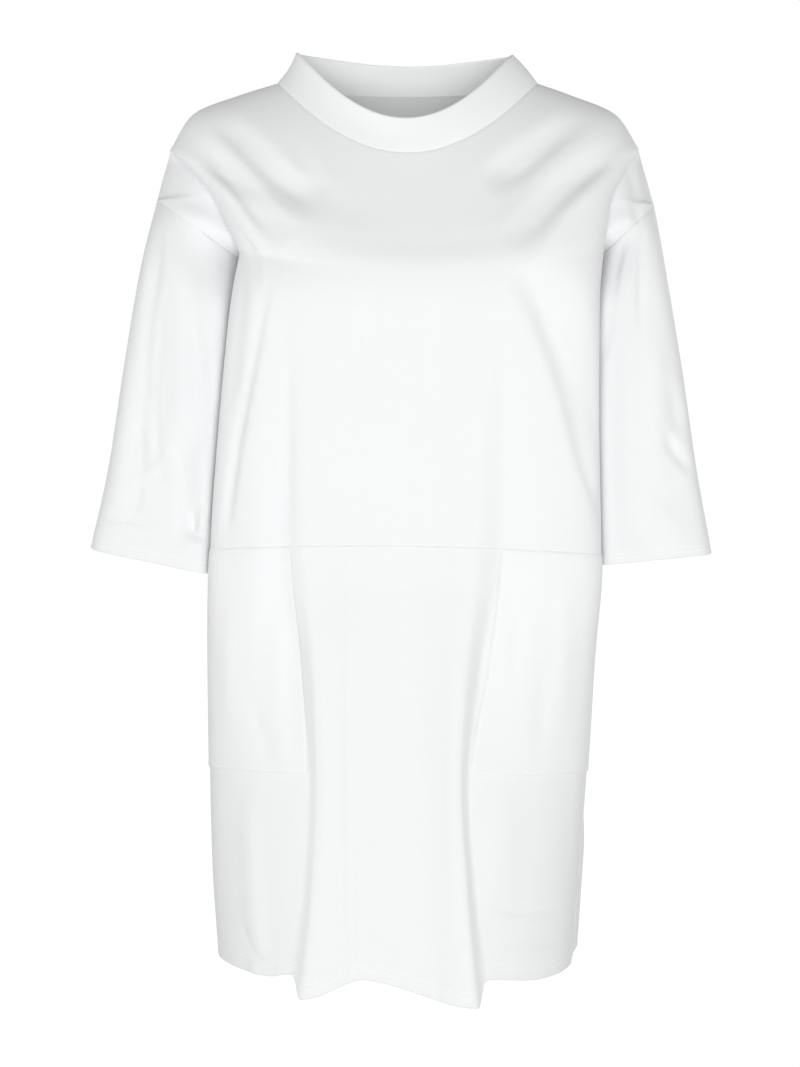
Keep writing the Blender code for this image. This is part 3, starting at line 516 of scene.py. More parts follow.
def fold_height(folds, x, z, straight=False):
    """How far the folds stand out of the cloth at each point, seen from the front."""
    height = np.zeros_like(x)
    for rows in folds.values():
        knots = [Knot(*row) for row in rows]
        fine = np.linspace(0.0, len(knots) - 1.0, STEPS_PER_KNOT * len(knots))
        line = np.array([read(knots, at) for at in fine])
        start, run = line[:-1], np.diff(line, axis=0)
        away_x, away_z = x[:, None] - start[:, 0], z[:, None] - start[:, 1]
        along = (away_x * run[:, 0] + away_z * run[:, 1]) / (run[:, 0] ** 2 + run[:, 1] ** 2)
        along = np.clip(along, 0.0, 1.0)
        distance = np.hypot(away_x - along * run[:, 0], away_z - along * run[:, 1])
        nearest = distance.argmin(axis=1)
        each = np.arange(len(x))
        near = start[nearest] + along[each, nearest][:, None] * run[nearest]
        width = np.where(x > near[:, 0], near[:, 4], near[:, 3])
        reach = np.minimum(distance[each, nearest] / (FOLD_REACH * width), 1.0)
        height += near[:, 2] * (1.0 - (reach if straight else smoothstep(reach)))
    return height


def lay_folds(points, angles, power, folds, pulls, outward):
    """Moves an arc's points by its folds and hem pulls, which fade out towards the arc's ends."""
    fade = smoothstep(squared(np.cos(angles), np.abs(np.sin(angles)), power)[1] ** (power / 2.0) / FOLD_FADE)
    height = fold_height(folds[0], points[:, 0], points[:, 2])
    for swells in folds[1:]:
        height += fold_height(swells, points[:, 0], points[:, 2], straight=True)
    pull = fold_height(pulls, points[:, 0], points[:, 2])
    points[:, 1] += outward * height * fade
    low = smoothstep((-points[:, 2] + SIDES[HEM].left_z + HEM_PULL_LENGTH) / HEM_PULL_LENGTH)
    points[:, 2] -= low * pull * fade
    return points


def line_angle(x, side, power):
    """The arc angle at which an arc passes the given x."""
    share = (2.0 * x - side.left_x - side.right_x) / (side.right_x - side.left_x)
    return math.atan2((1.0 - abs(share) ** power) ** (1.0 / power), share)


def eased(start, end, count):
    """Values from start to end, closer together near both."""
    t = np.linspace(0.0, 1.0, count + 1)
    return start + (end - start) * 0.5 * (t + smoothstep(t))


def front_angles(side, centre):
    """Angles of the front's columns: the two guide lines are columns, so folds and pockets follow them."""
    left = line_angle(centre.left_line, side, centre.front_power)
    right = line_angle(centre.right_line, side, centre.front_power)
    flank_left = eased(math.pi, left, FLANK_COLUMNS)
    middle = eased(left, right, MIDDLE_COLUMNS)
    flank_right = eased(right, 0.0, FLANK_COLUMNS)
    return np.concatenate([flank_left, middle[1:], flank_right[1:]])


def front_row(side, centre, folded=True):
    angles = front_angles(side, centre)
    left = np.array([side.left_x, side.front_y, side.left_z])
    right = np.array([side.right_x, side.front_y, side.right_z])
    points = arc(left, right, centre.front_y, centre.front_z, centre.front_power, centre.front_dip, angles)
    if folded:
        points = lay_folds(points, angles, centre.front_power, (FRONT_FOLDS, FRONT_SWELLS), FRONT_PULLS, -1.0)
    return points


def back_row(side, centre, folded=True):
    """The back's columns run from right to left, so that they run from left to right seen from behind."""
    angles = np.linspace(math.pi, 0.0, BACK_COLUMNS + 1)
    left = np.array([side.left_x + side.inset_left, side.back_y, side.left_z])
    right = np.array([side.right_x - side.inset_right, side.back_y, side.right_z])
    points = arc(left, right, centre.back_y, centre.back_z, centre.back_power, centre.back_dip, angles)
    if folded:
        points = lay_folds(points, angles, centre.back_power, (BACK_FOLDS,), BACK_PULLS, 1.0)
    return points[::-1]


def flank_slope(side, which):
    """How much the body's flank turns inwards from its front end to its back end, as a share of its depth."""
    inset = side.inset_left if which == "left" else -side.inset_right
    return inset / (side.back_y - side.front_y)


def around(middle, half, depth, dip, slope, power, angle, lean=0.0):
    """A point of a ring round the arm: angle 0 is outside, pi beside the body, and the sine is forwards.

    Beside the body the ring is squarer, leans forwards, and is skewed so that it lies parallel to the flank.
    """
    squarer = SQUARER_BESIDE_BODY if math.cos(angle) < 0.0 else SQUARER_OUTSIDE
    cosine, sine = squared(math.cos(angle), math.sin(angle), 2.0 + (power - 2.0) * squarer)
    beside = (1.0 - cosine) / 2.0
    forward = depth * sine + lean * max(sine, 0.0) * beside
    return middle + half * cosine + np.array([-slope * forward * beside, -forward, -dip * sine])


def armhole_point(which, angle, outward):
    """A point of the armhole seam: angle 0 is its outer point, pi its underarm point."""
    ring = ARMHOLE[which]
    outer = np.array([ring.outer_x, ring.middle_y, ring.outer_z])
    under = np.array([ring.under_x, ring.middle_y, ring.under_z])
    slope = flank_slope(SIDES[UNDERARM], which)
    return around((outer + under) / 2.0, (outer - under) / 2.0, ring.depth, 0.0, slope, 2.0, -outward * angle)


# Round the arm the strips are quarter ellipses. This sets in over the first of these spans of stations below
# TIP and goes over the second below RING. A bulge is highest at the station ARM_BULGE_AT and reaches so many
# stations from it. The underarm point draws the side seam with it over UNDERARM_PULL millimetres.
ARM_ROUND_IN = 0.5
ARM_ROUND_OUT = 0.45
ARM_BULGE = 6.0
ARM_BULGE_AT = RING + 0.3
ARM_BULGE_REACH = 1.0 / 1.7
UNDERARM_PULL = 25.0


def side_seam_point(which, at):
    """Where front and back meet: shoulder seam, armhole and, below the underarm, side seam."""
    side = side_at(at)
    x, z, inset, y = side.left_x, side.left_z, side.inset_left, side.seam_y_left
    if which == "right":
        x, z, inset, y = side.right_x, side.right_z, -side.inset_right, side.seam_y_right
    if at <= TIP:
        return np.array([x, y, z])
    if at <= RING:
        t = at - TIP
        tip = side_seam_point(which, TIP)
        outer = armhole_point(which, 0.0, 1.0)
        return tip + (outer - tip) * t
    share = (y - side.front_y) / (side.back_y - side.front_y)
    below = np.array([x + inset * share, y, z])
    under = armhole_point(which, math.pi, 1.0)
    top = SIDES[UNDERARM].left_z
    pull = math.exp((below[2] - top) / UNDERARM_PULL)
    return below + np.array([0.0, 0.0, under[2] - top]) * pull


def boundary_point(which, at, outward):
    """The panel's own edge: the armhole seam beside the arm, and the seam to the other panel elsewhere."""
    if RING < at < UNDERARM:
        return armhole_point(which, math.pi * (at - RING), outward)
    if at == UNDERARM:
        return armhole_point(which, math.pi, outward)
    return side_seam_point(which, at)


def strip(which, at, end, outward):
    """The panel from its arc's end to its side edge: on the arm above the underarm, on the flank below."""
    edge = boundary_point(which, at, outward)
    t = np.linspace(0.0, 1.0, STRIP_COLUMNS + 1)
    round_arm = smoothstep((at - TIP) / ARM_ROUND_IN) * (1.0 - smoothstep((at - RING) / ARM_ROUND_OUT))
    along = (1.0 - round_arm) * t + round_arm * np.sin(math.pi * t / 2.0)
    depth = (1.0 - round_arm) * t + round_arm * (1.0 - np.cos(math.pi * t / 2.0))
    points = end + (edge - end) * along[:, None]
    points[:, 1] = end[1] + (edge[1] - end[1]) * depth
    on_arm = smoothstep(1.0 - abs(at - ARM_BULGE_AT) / ARM_BULGE_REACH) if TIP < at < UNDERARM else 0.0
    points[:, 1] += outward * ARM_BULGE * on_arm * np.sin(math.pi * t)
    return points


def body_rows(first, last):
    """Station numbers of the rows from one station to another, with one close to each end for the seams."""
    rows = [float(first)]
    for station in range(first, last):
        rows += [station + (k + 1.0) / ROWS[station] for k in range(ROWS[station])]
    return sorted(rows + [first + SEAM_ROW, last - SEAM_ROW])


def body_patches(rows, outward):
    """The arc patch and the two strip patches of the front (outward -1) or the back (outward 1)."""
    arcs, first_strips, last_strips = [], [], []
    row_of = front_row if outward < 0 else back_row
    sides = ("left", "right") if outward < 0 else ("right", "left")
    for at in rows:
        points = row_of(side_at(at), read(CENTRES, at))
        arcs.append(points)
        if at >= TIP:
            first_strips.append(strip(sides[0], at, points[0], outward)[::-1])
            last_strips.append(strip(sides[1], at, points[-1], outward))
    return [np.array(patch) for patch in (first_strips, arcs, last_strips) if patch]


def key(point):
    return tuple(int(round(value * 1000.0)) for value in point)


class Panel:
    """One piece of cloth: its outer points and faces, and each point's flat place, thickness and dip."""

    def __init__(self, patches, thickness, dips=None):
        self.grids, self.points, self.faces = [], [], []
        self.thickness, self.dips, index = [], [], {}
        dips = dips or {}
        for patch in patches:
            ids = np.zeros(patch.shape[:2], int)
            last = len(patch) - 1
            for r, row in enumerate(patch):
                for c, point in enumerate(row):
                    name = key(point)
                    if name not in index:
                        index[name] = len(self.points)
                        self.points.append(point)
                        self.thickness.append(thickness(last - r))
                        self.dips.append(dips.get(last - r, 0.0))
                    ids[r, c] = index[name]
            self.grids.append(ids)
        self.points = np.array(self.points)
        self.thickness = np.array(self.thickness)
        self.dips = np.array(self.dips)
        self.add_grid_faces()
        self.flat = self.flat_places()

    def add_grid_faces(self):
        """A four-sided face between neighbours of each grid, or a triangle where two corners are the same."""
        for ids in self.grids:
            for r in range(len(ids) - 1):
                for c in range(len(ids[0]) - 1):
                    corners = [ids[r, c], ids[r + 1, c], ids[r + 1, c + 1], ids[r, c + 1]]
                    corners = list(dict.fromkeys(corners))
                    if len(corners) > 2:
                        self.faces.append(corners)

    def flat_places(self):
        """Where each point lies along its row, from the middle of the main patch, and how far down it is."""
        flat = np.zeros((len(self.points), 2))
        flat[:, 1] = -self.points[:, 2]
        middle_patch = len(self.grids) // 2
        main = self.grids[middle_patch]
        missing = len(main) - len(self.grids[0])
        for r, row in enumerate(main):
            line, centre = list(row), len(row) // 2
            if len(self.grids) == 3 and r >= missing:
                first, last = self.grids[0][r - missing], self.grids[2][r - missing]
                line = list(first[:-1]) + line + list(last[1:])
                centre += len(first) - 1
            steps = np.linalg.norm(np.diff(self.points[line], axis=0), axis=1)
            along = np.concatenate([[0.0], np.cumsum(steps)])
            flat[line, 0] = along - along[centre]
        return flat

    def face_normals(self):
        """Each face with its area-weighted normal, from its diagonals."""
        for face in self.faces:
            corners = self.points[face]
            last = corners[3] if len(face) == 4 else corners[0]
            yield face, np.cross(corners[2] - corners[0], last - corners[1])

    def boundary(self):
        """Directed edges that only one face has."""
        edges = {(face[i - 1], face[i]) for face in self.faces for i in range(len(face))}
        return [(a, b) for a, b in edges if (b, a) not in edges]

    def row_line(self, from_hem):
        """The points of the whole row that lies so many rows above the bottom one."""
        line = []
        for ids in self.grids:
            line += list(ids[len(ids) - 1 - from_hem])
        return list(dict.fromkeys(line))


def shared_normals(panels):
    """Vertex normals that pieces have in common along their seams: body, collar and sleeve count alike."""
    groups, shared, members = {}, {}, {}
    for name, panel in panels.items():
        panel.keys = [key(point) for point in panel.points]
        group = "body" if name.startswith(("front", "back")) else name
        total = groups.setdefault(group, {})
        sums = np.zeros_like(panel.points)
        for face, normal in panel.face_normals():
            for corner in face:
                sums[corner] += normal
        for place, normal in zip(panel.keys, sums):
            total[place] = total.get(place, 0.0) + normal
            members[place] = members.get(place, 0) + 1
    for total in groups.values():
        for place, normal in total.items():
            shared[place] = shared.get(place, 0.0) + normal / np.linalg.norm(normal)
    for panel in panels.values():
        normals = np.array([shared[place] for place in panel.keys])
        panel.normals = normals / np.linalg.norm(normals, axis=1)[:, None]
        panel.sewn = np.array([members[place] > 1 for place in panel.keys])


def crease_panels(panels, creases):
    """Moves every panel along its normals by its creases and dips. Sewn points share one movement."""
    moves, counts = {}, {}
    for name, panel in panels.items():
        panel.move = creases(name, panel) - panel.dips
        for place, move in zip(panel.keys, panel.move):
            moves[place] = moves.get(place, 0.0) + move
            counts[place] = counts.get(place, 0) + 1
    for panel in panels.values():
        move = np.array([moves[place] / counts[place] for place in panel.keys])
        move -= SEAM_DIP * panel.sewn
        panel.points = panel.points + panel.normals * move[:, None]


def puckers(x, z, station, reach):
    """Small uneven waves of the cloth along the seam or hem of the front at a station."""
    line = front_row(side_at(station), read(CENTRES, station))
    away = (z - np.interp(x, line[:, 0], line[:, 2])) / reach
    waves = sum(
        wave.share * np.sin(x / wave.length + wave.wander * np.sin(x / wave.wander_length))
        for wave in PUCKER_WAVES
    )
    return PUCKER_RISE * waves * np.exp(-(away**2))


def piece_creases(name, panel):
    """The crease height at each point of a piece. A crease fades where the cloth turns to the side."""
    x, z = panel.points[:, 0], panel.points[:, 2]
    faces_front = smoothstep(-panel.normals[:, 1] / TURN_FADE)
    faces_back = smoothstep(panel.normals[:, 1] / TURN_FADE)
    if name.startswith("front"):
        waves = puckers(x, z, WAIST, WAIST_PUCKERS) + puckers(x, z, HEM, HEM_PUCKERS)
        return (fold_height(FRONT_CREASES, x, z) + waves) * faces_front
    if name.startswith("back"):
        return BACK_CREASE_DEPTH * fold_height(BACK_CREASES, x, z) * faces_back
    if name.endswith("sleeve"):
        side = name.split("_")[0]
        front = fold_height(SLEEVE_CREASES[f"{side}_front"], x, z) * faces_front
        back = fold_height(SLEEVE_CREASES[f"{side}_back"], x, z) * faces_back
        return SLEEVE_CREASE_DEPTH * (front + back)
    return np.zeros(len(x))


def inward_directions(panel):
    """At each edge point, the direction along the cloth into its own panel."""
    inward = np.zeros_like(panel.points)
    for a, b in panel.boundary():
        direction = np.cross(panel.normals[a], panel.points[b] - panel.points[a])
        direction /= max(np.linalg.norm(direction), 1e-9)
        inward[a] += direction
        inward[b] += direction
    length = np.linalg.norm(inward, axis=1)
    on_edge = length > 1e-6
    inward[on_edge] /= length[on_edge][:, None]
    return inward


def make_object(name, points, faces, flat, material):
    mesh = bpy.data.meshes.new(name)
    mesh.from_pydata((points * METRES).tolist(), [], faces)
    layer = mesh.uv_layers.new(name="flat")
    corners = np.zeros(len(mesh.loops), int)
    mesh.loops.foreach_get("vertex_index", corners)
    layer.data.foreach_set("uv", (flat[corners] * METRES).astype(np.float32).ravel())
    mesh.materials.append(material)
    mesh.shade_smooth()
    mesh.set_sharp_from_angle(angle=math.radians(70.0))
    thing = bpy.data.objects.new(name, mesh)
    bpy.context.scene.collection.objects.link(thing)
    return thing


def cloth_wall(name, panel, material, lift=0.0):
    """A closed wall. Its free edges are rolled, as folded hems are, and its sewn edges are plain."""
    inward = inward_directions(panel)
    outer = panel.points + panel.normals * np.reshape(lift, (-1, 1)) + inward * (SEAM_GAP / 2.0)
    inner = outer - panel.normals * panel.thickness[:, None]
    middle = (outer + inner) / 2.0 - inward * (panel.thickness * ROLL_OUT)[:, None]
    count = len(outer)
    points, flat = [outer, inner], [panel.flat, panel.flat]
    faces = [list(face) for face in panel.faces]
    faces += [[corner + count for corner in reversed(face)] for face in panel.faces]
    rolled = {}
    extra = []
    for a, b in panel.boundary():
        if panel.sewn[a] and panel.sewn[b]:
            faces.append([b, a, a + count, b + count])
            continue
        for corner in (a, b):
            if corner not in rolled:
                rolled[corner] = 2 * count + len(extra)
                extra.append(corner)
        faces.append([b, a, rolled[a], rolled[b]])
        faces.append([rolled[b], rolled[a], a + count, b + count])
    if extra:
        points.append(middle[extra])
        flat.append(panel.flat[extra])
    return make_object(name, np.concatenate(points), faces, np.concatenate(flat), material)


def inset_line(panel, edge, inner, distance):
    """Points and normals a set distance in from an edge line, towards the line of points beside it."""
    a, b = panel.points[edge], panel.points[inner]
    step = np.linalg.norm(b - a, axis=1)[:, None]
    points = a + (b - a) / np.maximum(step, 1e-6) * distance
    return points, panel.normals[edge]


# Sizes of stitches: their length, the gap between two, and their radius.
Stitch = namedtuple("Stitch", "length gap radius")
HEM_STITCH = Stitch(2.3, 1.0, 0.26)
WAIST_STITCH = Stitch(2.3, 0.25, 0.7)
SIDE_STITCH = Stitch(2.3, 0.6, 0.6)
CHAIN_STITCH = Stitch(2.0, 1.6, 0.34)
STITCH_LIFT = 0.12
STITCH_SINK = 0.1

# How far the stitch lines lie inside the edges that they follow.
WAIST_STITCH_INSET = 0.1
SIDE_STITCH_INSETS = (0.7, 3.6)
CHAIN_INSET = 2.4
POCKET_SIDE_INSET = 3.0
POCKET_BOTTOM_INSET = 2.5


def stitch_row(points, normals, stitch=HEM_STITCH):
    """Small raised stitches end to end along a line of points, as vertices and faces."""
    steps = np.linalg.norm(np.diff(points, axis=0), axis=1)
    along = np.concatenate([[0.0], np.cumsum(steps)])
    count = int(along[-1] // (stitch.length + stitch.gap))
    starts = (np.arange(count) + 0.15) * (along[-1] / max(count, 1))

    def at(values, distance):
        return np.stack([np.interp(distance, along, values[:, k]) for k in range(3)], axis=1)

    head, tail = at(points, starts), at(points, starts + stitch.length)
    up = at(normals, starts + stitch.length / 2.0)
    up /= np.linalg.norm(up, axis=1)[:, None]
    run = tail - head
    side = np.cross(run, up)
    side /= np.linalg.norm(side, axis=1)[:, None]
    rings = [head - up * STITCH_SINK]
    for share in (0.2, 0.8):
        middle = head + run * share + up * STITCH_LIFT
        rings += [middle + away * stitch.radius for away in (side, up, -side, -up)]
    rings.append(tail - up * STITCH_SINK)
    vertices = np.stack(rings, axis=1).reshape(-1, 3)
    one = [[0, 1, 2], [0, 2, 3], [0, 3, 4], [0, 4, 1]]
    one += [[9, 6, 5], [9, 7, 6], [9, 8, 7], [9, 5, 8]]
    one += [[1, 5, 6, 2], [2, 6, 7, 3], [3, 7, 8, 4], [4, 8, 5, 1]]
    faces = [[corner + 10 * k for corner in face] for k in range(count) for face in one]
    return vertices, faces


def stitch_object(name, rows, material):
    """All the stitch rows of one piece as one mesh."""
    points, faces, start = [], [], 0
    for vertices, row_faces in rows:
        points.append(vertices)
        faces += [[corner + start for corner in face] for face in row_faces]
        start += len(vertices)
    points = np.concatenate(points)
    return make_object(name, points, faces, points[:, :2], material)


# Rows of a turned hem, as distances above its edge: where the hem begins, its two stitch lines and its roll.
SKIRT_HEM_ROWS = (16.5, 15.0, 13.0, 10.6, 8.2, 4.4, 1.2, 0.0)
SLEEVE_HEM_ROWS = (11.6, 10.2, 8.6, 6.6, 4.6, 2.4, 0.8, 0.0)
HEM_DIPS = {5: 0.25, 3: 0.25}
HEM_STITCH_ROWS = (5, 3)


def hem_thickness(rows_up):
    """Double cloth from the hem's first row down, then a thinner rolled edge."""
    if rows_up >= len(SKIRT_HEM_ROWS) - 1:
        return CLOTH
    return HEM_CLOTH


def skirt_rows():
    length = CENTRES[HEM - 1].front_z - CENTRES[HEM].front_z
    hems = [HEM - distance / length for distance in SKIRT_HEM_ROWS]
    return [at for at in body_rows(WAIST, HEM) if at < hems[0] - 0.01] + hems


def rows_above_pocket_end():
    return sum(1 for at in skirt_rows() if at <= POCKET_END)


def flank_at(z):
    """The body's side ends at a height below the underarm."""
    heights = [-side.left_z for side in SIDES[UNDERARM:]]
    return side_at(float(np.interp(-z, heights, range(UNDERARM, HEM + 1))))


def sleeve_section(which, at):
    """The section of a sleeve as around() takes it; 0 is the armhole seam and 4 the hem."""
    ring, cuffs = ARMHOLE[which], SLEEVES[which]
    first = Cuff(ring.outer_x, ring.outer_z, ring.under_z, ring.middle_y, ring.depth, 0.0, 2.0)
    cuff = read([first] + cuffs, at)
    side = flank_at(cuff.inner_z) if at > 0 else SIDES[UNDERARM]
    slope = flank_slope(side, which)
    edge, outwards = (side.left_x, -1.0) if which == "left" else (side.right_x, 1.0)
    hang = edge + slope * (cuff.middle_y - side.front_y) + outwards * SLEEVE_CLEARANCE
    inner_x = ring.under_x + (hang - ring.under_x) * min(at / SLEEVE_LEAVES_BODY, 1.0)
    outer = np.array([cuff.outer_x, cuff.middle_y, cuff.outer_z])
    inner = np.array([inner_x, cuff.middle_y, cuff.inner_z])
    return (outer + inner) / 2.0, (outer - inner) / 2.0, cuff.depth, cuff.front_dip, slope, cuff.power


def sleeve_ring(which, at, angles):
    section, lean = sleeve_section(which, at), SLEEVE_LEAN * float(smoothstep(at))
    return [around(*section, angle, lean) for angle in angles]


def sleeve_patch(which):
    """Rings of the sleeve from the armhole seam to the hem, running from left to right round its outside."""
    turns = [math.pi * k / SLEEVE_SIDE for k in range(-SLEEVE_SIDE, SLEEVE_SIDE + 1)]
    angles = turns if which == "left" else [-turn for turn in turns]
    last = float(len(SLEEVES[which]))
    length = SLEEVES[which][-2].outer_z - SLEEVES[which][-1].outer_z
    hems = [last - distance / length for distance in SLEEVE_HEM_ROWS]
    rows = [0.0, SLEEVE_SEAM_ROW]
    rows += [at for at in np.linspace(0.0, last, SLEEVE_ROWS)[1:] if at < hems[0] - 0.02]
    return [np.array([sleeve_ring(which, at, angles) for at in rows + hems])]


def collar_patch():
    """Rings of the collar from its top edge to the neck seam, whose columns are the body's."""
    seam = np.concatenate([
        front_row(side_at(NECK), read(CENTRES, NECK), folded=False),
        back_row(side_at(NECK), read(CENTRES, NECK), folded=False)[1:],
    ])
    top = np.concatenate([
        front_row(COLLAR_TOP, COLLAR_TOP_CENTRE, folded=False),
        back_row(COLLAR_TOP, COLLAR_TOP_CENTRE, folded=False)[1:],
    ])
    middle = np.array([seam[:, 0].mean(), seam[:, 1].mean(), 0.0])
    away = seam - middle
    away[:, 2] = 0.0
    away /= np.linalg.norm(away, axis=1)[:, None]
    share = (1.0 + away[:, :1]) / 2.0
    bulge = COLLAR_BULGE_LEFT + (COLLAR_BULGE_RIGHT - COLLAR_BULGE_LEFT) * share
    rings = []
    for t in [0.0, *COLLAR_ROLL_ROWS, *np.linspace(*COLLAR_MIDDLE_ROWS), 1.0]:
        rings.append(top + (seam - top) * t + away * bulge * math.sin(math.pi * t))
    return [np.array(rings)]


def even(thickness):
    return lambda rows_up: thickness


# Each piece's cut as it lies flat, in metres and square metres, and the pieces that it hangs from.
Cut = namedtuple("Cut", "width length area hangs_from")

# Jersey: one column of knitted stitches is a wale and one row of them a course, both in metres. LEG_SLANT is
# how far a stitch's leg climbs over a wale's width, and VALLEY_DEPTH how deep it lies between two wales.
WALE_M = 0.00095
COURSE_M = 0.0008
KNIT_DEPTH = 0.00009
LEG_SLANT = 1.3
VALLEY_DEPTH = -1.2
RIPPLE_SCALE = 34.0
RIPPLE_DEPTH = 0.0011
FLECK_SCALE = 900.0
FLECK_SHADE = 0.985
SINGLE_JERSEY = (0.84, 0.845, 0.85)
# The collar's and pockets' double cloth is painted a little lighter than the single cloth. This is painted
# light: it stands in for the whiter look of double cloth, which lets less light through from its dark inside,
# and for the pockets' lighter shading.
DOUBLE_JERSEY_PAINTED_LIGHTER = (0.85, 0.855, 0.86)
# The thread is painted lighter than the cloth: a painted highlight, for the light line that the stitching
# along the seams and hems catches.
THREAD_PAINTED_HIGHLIGHT = (0.92, 0.92, 0.92)


def new_material(name):
    """A material with its nodes, links and shader."""
    material = bpy.data.materials.new(name)
    material.use_nodes = True
    tree = material.node_tree
    return material, tree.nodes, tree.links, tree.nodes["Principled BSDF"]


def set_inputs(node, values):
    for name, value in values.items():
        node.inputs[name].default_value = value
    return node


def jersey_material(name, colour):
    """White cotton jersey: rows of small knitted Vs and faint uneven ripples as bumps, and a soft sheen."""
    material, nodes, links, shader = new_material(name)
    set_inputs(shader, {"Roughness": 0.88, "Specular IOR Level": 0.25, "Sheen Weight": 0.25})
    set_inputs(shader, {"Sheen Roughness": 0.55, "Sheen Tint": (1.0, 1.0, 1.0, 1.0)})

    def calculate(operation, *values):
        node = nodes.new("ShaderNodeMath")
        node.operation = operation
        for socket, value in zip(node.inputs, values):
            if isinstance(value, float):
                socket.default_value = value
            else:
                links.new(value, socket)
        return node.outputs[0]

    def noise(vector, **values):
        node = set_inputs(nodes.new("ShaderNodeTexNoise"), values)
        links.new(vector, node.inputs["Vector"])
        return node.outputs["Fac"]

    def bump(height, strength, distance):
        node = set_inputs(nodes.new("ShaderNodeBump"), {"Strength": strength, "Distance": distance})
        links.new(height, node.inputs["Height"])
        return node

    place = nodes.new("ShaderNodeUVMap")
    place.uv_map = "flat"
    flat = place.outputs["UV"]
    split = nodes.new("ShaderNodeSeparateXYZ")
    links.new(flat, split.inputs[0])
    wale = calculate("DIVIDE", split.outputs[0], WALE_M)
    course = calculate("DIVIDE", split.outputs[1], COURSE_M)
    across = calculate("ABSOLUTE", calculate("SUBTRACT", calculate("FRACT", wale), 0.5))
    slant = calculate("ADD", course, calculate("MULTIPLY", across, LEG_SLANT))
    legs = calculate("SINE", calculate("MULTIPLY", slant, 2.0 * math.pi))
    edge = calculate("POWER", calculate("MULTIPLY", across, 2.0), 3.0)
    valley = calculate("MULTIPLY", edge, VALLEY_DEPTH)
    knit = bump(calculate("ADD", calculate("MULTIPLY", legs, 0.5), valley), 0.35, KNIT_DEPTH)

    stretch = set_inputs(nodes.new("ShaderNodeMapping"), {"Scale": (1.0, 0.35, 1.0)})
    links.new(flat, stretch.inputs["Vector"])
    waves = noise(stretch.outputs["Vector"], Scale=RIPPLE_SCALE, Detail=2.5, Roughness=0.45)
    ripple = bump(waves, 0.4, RIPPLE_DEPTH)
    links.new(knit.outputs["Normal"], ripple.inputs["Normal"])
    links.new(ripple.outputs["Normal"], shader.inputs["Normal"])

    tint = nodes.new("ShaderNodeMix")
    tint.data_type = "RGBA"
    set_inputs(tint, {"A": (*[value * FLECK_SHADE for value in colour], 1.0), "B": (*colour, 1.0)})
    links.new(noise(flat, Scale=FLECK_SCALE, Detail=1.0), tint.inputs["Factor"])
    links.new(tint.outputs["Result"], shader.inputs["Base Color"])
    return material


def thread_material():
    # The thread's lighter colour is a painted highlight along the seams and hems.
    material, _, _, shader = new_material("white_thread_painted_highlight")
    set_inputs(shader, {"Base Color": (*THREAD_PAINTED_HIGHLIGHT, 1.0), "Roughness": 0.55, "Sheen Weight": 0.2})
    return material


def declare(thing, name):
    """Hangs the cloth piece from the root and hides its solid."""
    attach(thing, "root")
    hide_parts(name)


# A pocket thins out towards the waist seam over so many rows, down to this share of its thickness.
POCKET_TOP_ROWS = 4
POCKET_TOP_SHARE = 0.25


def pocket_panel(skirt, which):
    """The part of the front skirt that a pocket covers, from the side seam to the guide line."""
    rows = rows_above_pocket_end()
    left_strip, arcs, right_strip = (ids[:rows] for ids in skirt.grids)
    grids = [left_strip, arcs[:, : FLANK_COLUMNS + 1]]
    if which == "right":
        grids = [arcs[:, FLANK_COLUMNS + MIDDLE_COLUMNS :], right_strip]
    used = list(dict.fromkeys(int(i) for ids in grids for i in ids.ravel()))
    number = {old: new for new, old in enumerate(used)}
    pocket = Panel.__new__(Panel)
    pocket.grids, pocket.faces = [np.vectorize(number.get)(ids) for ids in grids], []
    pocket.points, pocket.normals, pocket.flat = skirt.points[used], skirt.normals[used], skirt.flat[used]
    pocket.add_grid_faces()
    pocket.thickness = np.full(len(used), POCKET_CLOTH)
    for ids in pocket.grids:
        for r in range(POCKET_TOP_ROWS):
            pocket.thickness[ids[r]] *= POCKET_TOP_SHARE + (1.0 - POCKET_TOP_SHARE) * r / POCKET_TOP_ROWS
    pocket.sewn = np.zeros(len(used), bool)
    return pocket


def seam_stitches(name, panel):
    """A row of stitches over the waist seam, and two along each side seam below the pockets."""
    if name == "front_bodice":
        rows = [panel.row_line(0), panel.row_line(2)]
        return [stitch_row(*inset_line(panel, *rows, WAIST_STITCH_INSET), WAIST_STITCH)]
    if name != "front_skirt":
        return []
    start = rows_above_pocket_end()
    left, right = panel.grids[0][start:], panel.grids[2][start:]
    rows = []
    for edge, beside in ((left[:, 0], left[:, 1]), (right[:, -1], right[:, -2])):
        for inset in SIDE_STITCH_INSETS:
            rows.append(stitch_row(*inset_line(panel, edge, beside, inset), SIDE_STITCH))
    return rows


